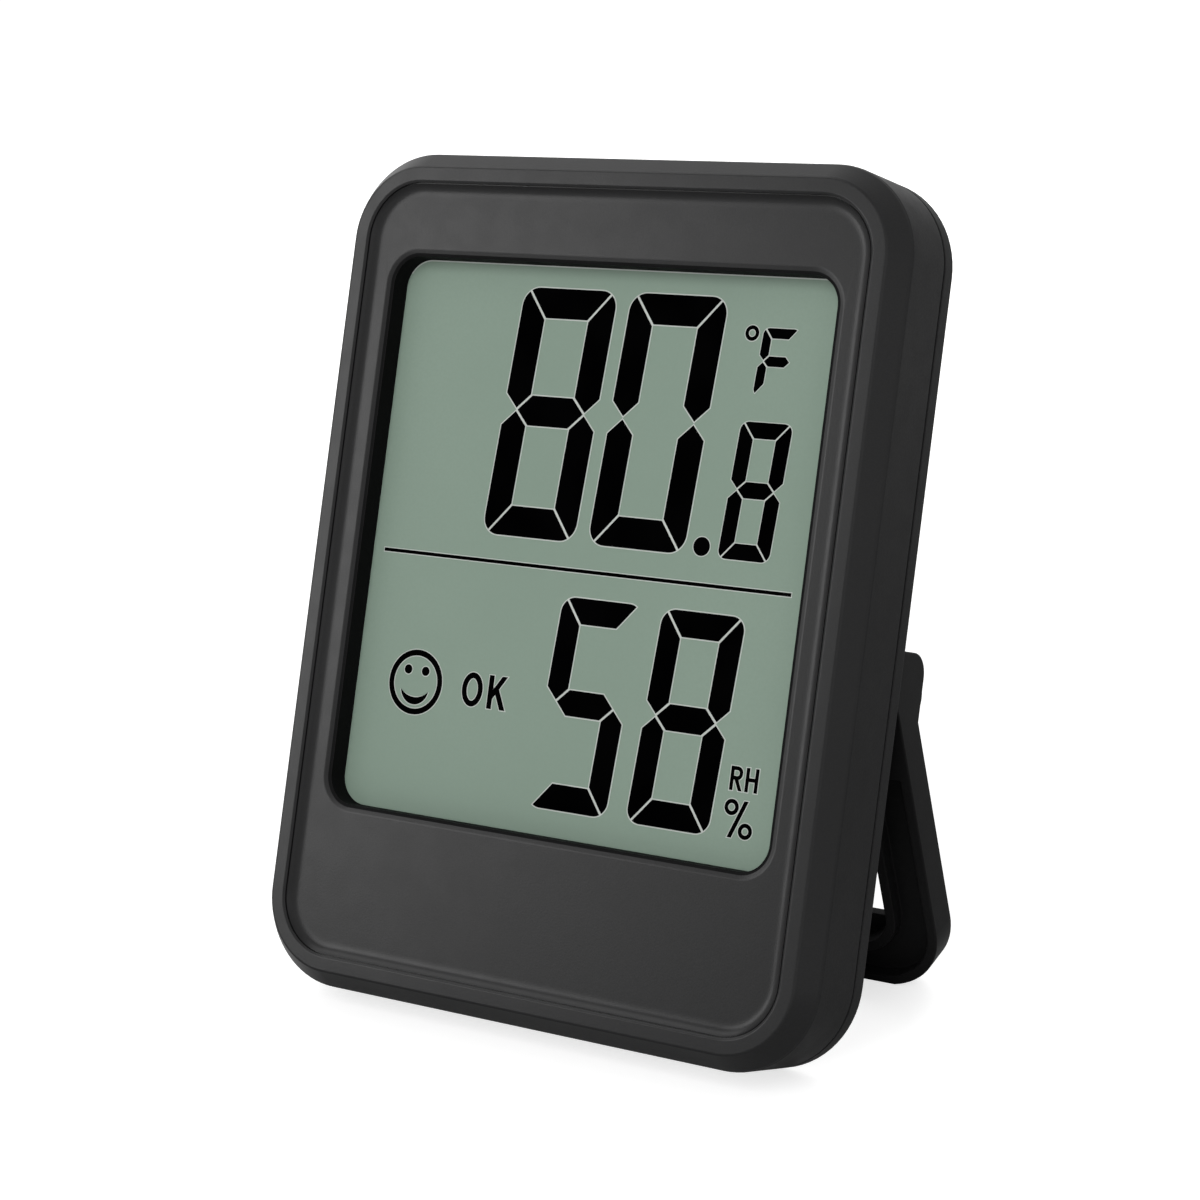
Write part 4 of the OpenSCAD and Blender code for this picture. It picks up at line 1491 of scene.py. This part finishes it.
@dataclass(frozen=True)
class Studio:
    """Pale floor, world light and soft lamps, in metres.

    The floor's lift is the white that it adds where it is seen, near the object and further out.
    Each lamp gives its azimuth, elevation, distance, width, height and power.
    """

    floor_half: float = 3.0
    floor_tone: Colour = (0.64, 0.64, 0.64)
    floor_speck: Colour = (0.62, 0.62, 0.62)
    speck_rate: float = 3.0
    near_lift: float = 0.70
    far_lift: float = 0.80
    lift_reach: Point = (0.08, 0.30)
    reflected_lift: float = 0.0
    sky_light: float = 0.42
    white: Colour = (1.0, 1.0, 1.0)
    lights: tuple[SoftLight, ...] = (
        SoftLight("key_light", -44.6, 19.4, 0.5, 0.18, 0.24, 1.36, Reach.GLOSS),
        SoftLight("upper_light", -88.0, 54.0, 0.5, 0.36, 0.36, 1.2, Reach.GLOSS),
        SoftLight("side_light", 58.0, 20.0, 0.5, 0.3, 0.3, 0.32, Reach.GLOSS),
        SoftLight("front_fill", 8.0, 32.0, 0.7, 0.5, 0.5, 3.0, Reach.COLOUR),
        SoftLight("rear_fill", 196.0, 36.0, 0.7, 0.5, 0.5, 2.6, Reach.COLOUR),
    )

    def seen(self, graph: Graph) -> NodeSocket:
        """Make a mask of the rays that show the background: camera, glossy and transmission rays.

        Args:
            graph: The graph to add to.

        Returns:
            The mask's socket.
        """
        path = graph.add("ShaderNodeLightPath").outputs
        first = graph.math("MAXIMUM", path["Is Camera Ray"], path["Is Glossy Ray"])
        return graph.math("MAXIMUM", first, path["Is Transmission Ray"])

    def world(self) -> None:
        """Light the scene evenly and show white behind it."""
        world = bpy.data.worlds.new("studio")
        world.use_nodes = True
        graph = Graph(world.node_tree)
        graph.tree.nodes.clear()
        strength = graph.remap(self.seen(graph), UNIT, (self.sky_light, 1.0))
        sky = graph.add("ShaderNodeBackground", Color=self.white, Strength=strength)
        graph.add("ShaderNodeOutputWorld", sky.outputs[0])
        bpy.context.scene.world = world

    def floor_material(self) -> Material:
        """Make the floor's matte tone and its lift towards white.

        Returns:
            The material.
        """
        look = Look("pale_floor")
        noise = look.add("ShaderNodeTexNoise", Vector=look.place, Scale=self.speck_rate)
        tone = look.mix(noise.outputs["Fac"], self.floor_tone, self.floor_speck)
        matte = look.add("ShaderNodeBsdfDiffuse", Color=tone)
        reach = look.add("ShaderNodeVectorMath", look.place, settings={"operation": "LENGTH"})
        camera_ray = look.add("ShaderNodeLightPath").outputs["Is Camera Ray"]
        near = look.remap(camera_ray, UNIT, (self.reflected_lift, self.near_lift))
        rise = look.remap(reach.outputs["Value"], self.lift_reach, (near, self.far_lift), soft=True)
        strength = look.math("MULTIPLY", self.seen(look), rise)
        lift = look.add("ShaderNodeEmission", Color=self.white, Strength=strength)
        return look.cover(look.add("ShaderNodeAddShader", matte.outputs[0], lift.outputs[0]))

    def floor(self) -> None:
        """Make the pale floor, which keeps the object's shadow."""
        mesh = bmesh.new()
        bmesh.ops.create_grid(mesh, x_segments=1, y_segments=1, size=self.floor_half)
        data = bpy.data.meshes.new("floor")
        mesh.to_mesh(data)
        mesh.free()
        data.materials.append(self.floor_material())
        floor = bpy.data.objects.new("floor", data)
        bpy.context.scene.collection.objects.link(floor)

    def build(self) -> None:
        """Make the floor, the world and the lamps."""
        low, high = CAD_BOX
        self.floor()
        self.world()
        for light in self.lights:
            light.build((Vector(low) + Vector(high)) / 2)
        bpy.context.scene.view_settings.view_transform = "Standard"


# Assembly


def outer_finishes() -> dict[str, Material]:
    """Make the finishes of the outer pieces and of the display's print.

    Returns:
        The materials by name.
    """
    finishes = (
        MouldedPlastic(
            "front_plastic", (0.0140, 0.0140, 0.0143), (0.0160, 0.0160, 0.0164), (0.315, 0.345),
            pit=(0.0104, 0.0104, 0.0107),
        ),
        MouldedPlastic(
            "side_plastic", (0.0240, 0.0240, 0.0245), (0.0272, 0.0272, 0.0277), (0.38, 0.44),
            pit=(0.0180, 0.0180, 0.0184), shine=0.02, grain_size=0.2, grain_depth=0.016,
        ),
        # Painted shade: darker than the case plastic, for the window's wall and the strip on its bevel,
        # which lie in shade
        MouldedPlastic(
            "well_painted_shade", (0.0060, 0.0060, 0.0062), (0.0072, 0.0072, 0.0074), (0.55, 0.65),
            pit=(0.0040, 0.0040, 0.0041), shine=0.02,
        ),
        MouldedPlastic(
            "stand_plastic", (0.0112, 0.0112, 0.0115), (0.0130, 0.0130, 0.0133), (0.36, 0.40),
            pit=(0.0084, 0.0084, 0.0086), shine=0.03,
        ),
        MouldedPlastic(
            "key_plastic", (0.050, 0.050, 0.052), (0.058, 0.058, 0.060), (0.315, 0.345),
            pit=(0.044, 0.044, 0.046),
        ),
        # Backward faces: a coarser grain, and a tone lighter than the front and stand plastic that is partly
        # painted light on the back, which lies in shade
        MouldedPlastic(
            "rear_grain_and_light", (0.0215, 0.0215, 0.0220), (0.0245, 0.0245, 0.0251), (0.42, 0.48),
            pit=(0.0150, 0.0150, 0.0154), shine=0.26, grain_size=0.30, grain_depth=0.030,
        ),
        SmoothTone("mark_print", (0.20, 0.20, 0.21), (0.24, 0.24, 0.25), (0.5, 0.6), shine=0.3),
        SmoothTone("segment_ink", (0.0004, 0.0004, 0.0005), (0.0010, 0.0010, 0.0011), (0.5, 0.6), shine=0.0),
        SmoothTone("segment_edge", (0.47, 0.50, 0.47), (0.51, 0.54, 0.51), (0.5, 0.6), shine=0.1),
    )
    return {finish.name: finish.build() for finish in finishes}


def dress_inner_parts() -> None:
    """Give the display stack, the electronics, the supply and the screws their finishes."""
    film = SmoothTone(
        "display_film", (0.220, 0.292, 0.238), (0.232, 0.305, 0.250), (0.56, 0.64), shine=0.06,
        tone_size=30.0, smudge_size=0.25, mottle=(0.214, 0.284, 0.231),
    )
    glass = SmoothTone(
        "thin_glass", (0.90, 0.95, 0.93), (0.86, 0.92, 0.90), (0.02, 0.06), tone_size=15.0,
        smudge_size=3.0, clear=1.0,
    )
    silver = Metal("reflector_film", (0.55, 0.56, 0.55), (0.66, 0.67, 0.66), (0.3, 0.45), line_size=0.05)
    rubber = StripRubber("strip_rubber", (0.012, 0.012, 0.013), (0.30, 0.26, 0.27), (0.65, 0.8))
    foam = Speckled("cushion_foam", (0.016,) * 3, (0.006,) * 3, (0.8, 0.95), size=0.25, depth=0.08)
    board = CircuitMask(
        "solder_mask", (0.010, 0.085, 0.036), (0.008, 0.070, 0.030), (0.28, 0.4),
        track=(0.016, 0.130, 0.055),
    )
    epoxy = Speckled("chip_epoxy", (0.008,) * 3, (0.014,) * 3, (0.18, 0.35), size=0.8, depth=0.03)
    chip = Speckled(
        "chip_ceramic", (0.30, 0.22, 0.14), (0.36, 0.28, 0.19), (0.4, 0.6), size=0.12, depth=0.01
    )
    sensor = Speckled(
        "sensor_ceramic", (0.70, 0.70, 0.67), (0.62, 0.62, 0.59), (0.45, 0.6), size=0.15, depth=0.01
    )
    steel = Metal("bright_steel", (0.40, 0.40, 0.42), (0.60, 0.60, 0.62), (0.22, 0.40))
    can = Metal("rolled_can", (0.48, 0.48, 0.50), (0.66, 0.66, 0.68), (0.18, 0.32), line_size=0.09)
    contact = Metal("nickel_plating", (0.42, 0.38, 0.28), (0.62, 0.57, 0.44), (0.22, 0.40))
    black = Metal("black_screw", (0.02, 0.02, 0.022), (0.05, 0.05, 0.054), (0.3, 0.5))
    dressed = {
        film: ("front_polariser",),
        glass: ("lcd_front_glass", "lcd_rear_glass"),
        silver: ("lcd_reflector",),
        rubber: ("zebra_connector",),
        foam: ("lcd_cushion",),
        board: ("circuit_board",),
        epoxy: ("chip_blob",),
        chip: ("chip_components",),
        sensor: ("humidity_sensor",),
        steel: ("timing_crystal", "tact_switch", "board_screws", "hinge_pins"),
        can: ("coin_cell",),
        contact: ("positive_contact", "negative_contact"),
        black: ("case_screws",),
    }
    for finish, nodes in dressed.items():
        material = finish.build()
        for node in nodes:
            data = frame["nodes"][node].data
            data.materials.clear()
            data.materials.append(material)
            LOG.info("node %s dressed with %s", node, material.name)


def main() -> None:
    """Build the camera, the pieces and the studio in order."""
    logging.basicConfig(level=logging.INFO, format="%(name)s: %(message)s")
    Camera().build()
    coat = outer_finishes()
    side, rear, well = coat["side_plastic"], coat["rear_grain_and_light"], coat["well_painted_shade"]
    stand, key = coat["stand_plastic"], coat["key_plastic"]
    case = FrontCase()
    case.build(coat["front_plastic"], side, well)
    SoftNode("rear_cover", "rear_shell", Body.HOUSING, "case_plastic", width=0.1).build(side, rear)
    SoftNode("stand_frame", "stand_loop", Body.STAND, "case_plastic", width=0.15).build(stand, rear)
    SoftNode("battery_door", "battery_cover", Body.DOOR, "case_plastic", width=0.08).build(side, rear)
    SoftNode("unit_button", "unit_key", Body.BUTTON, "button_plastic", width=0.1).build(key)
    BackMarks().build(coat["mark_print"])
    dress_inner_parts()
    Display(case).build(coat["segment_ink"], coat["segment_edge"], well)
    Studio().build()


if __name__ == "__main__":
    main()
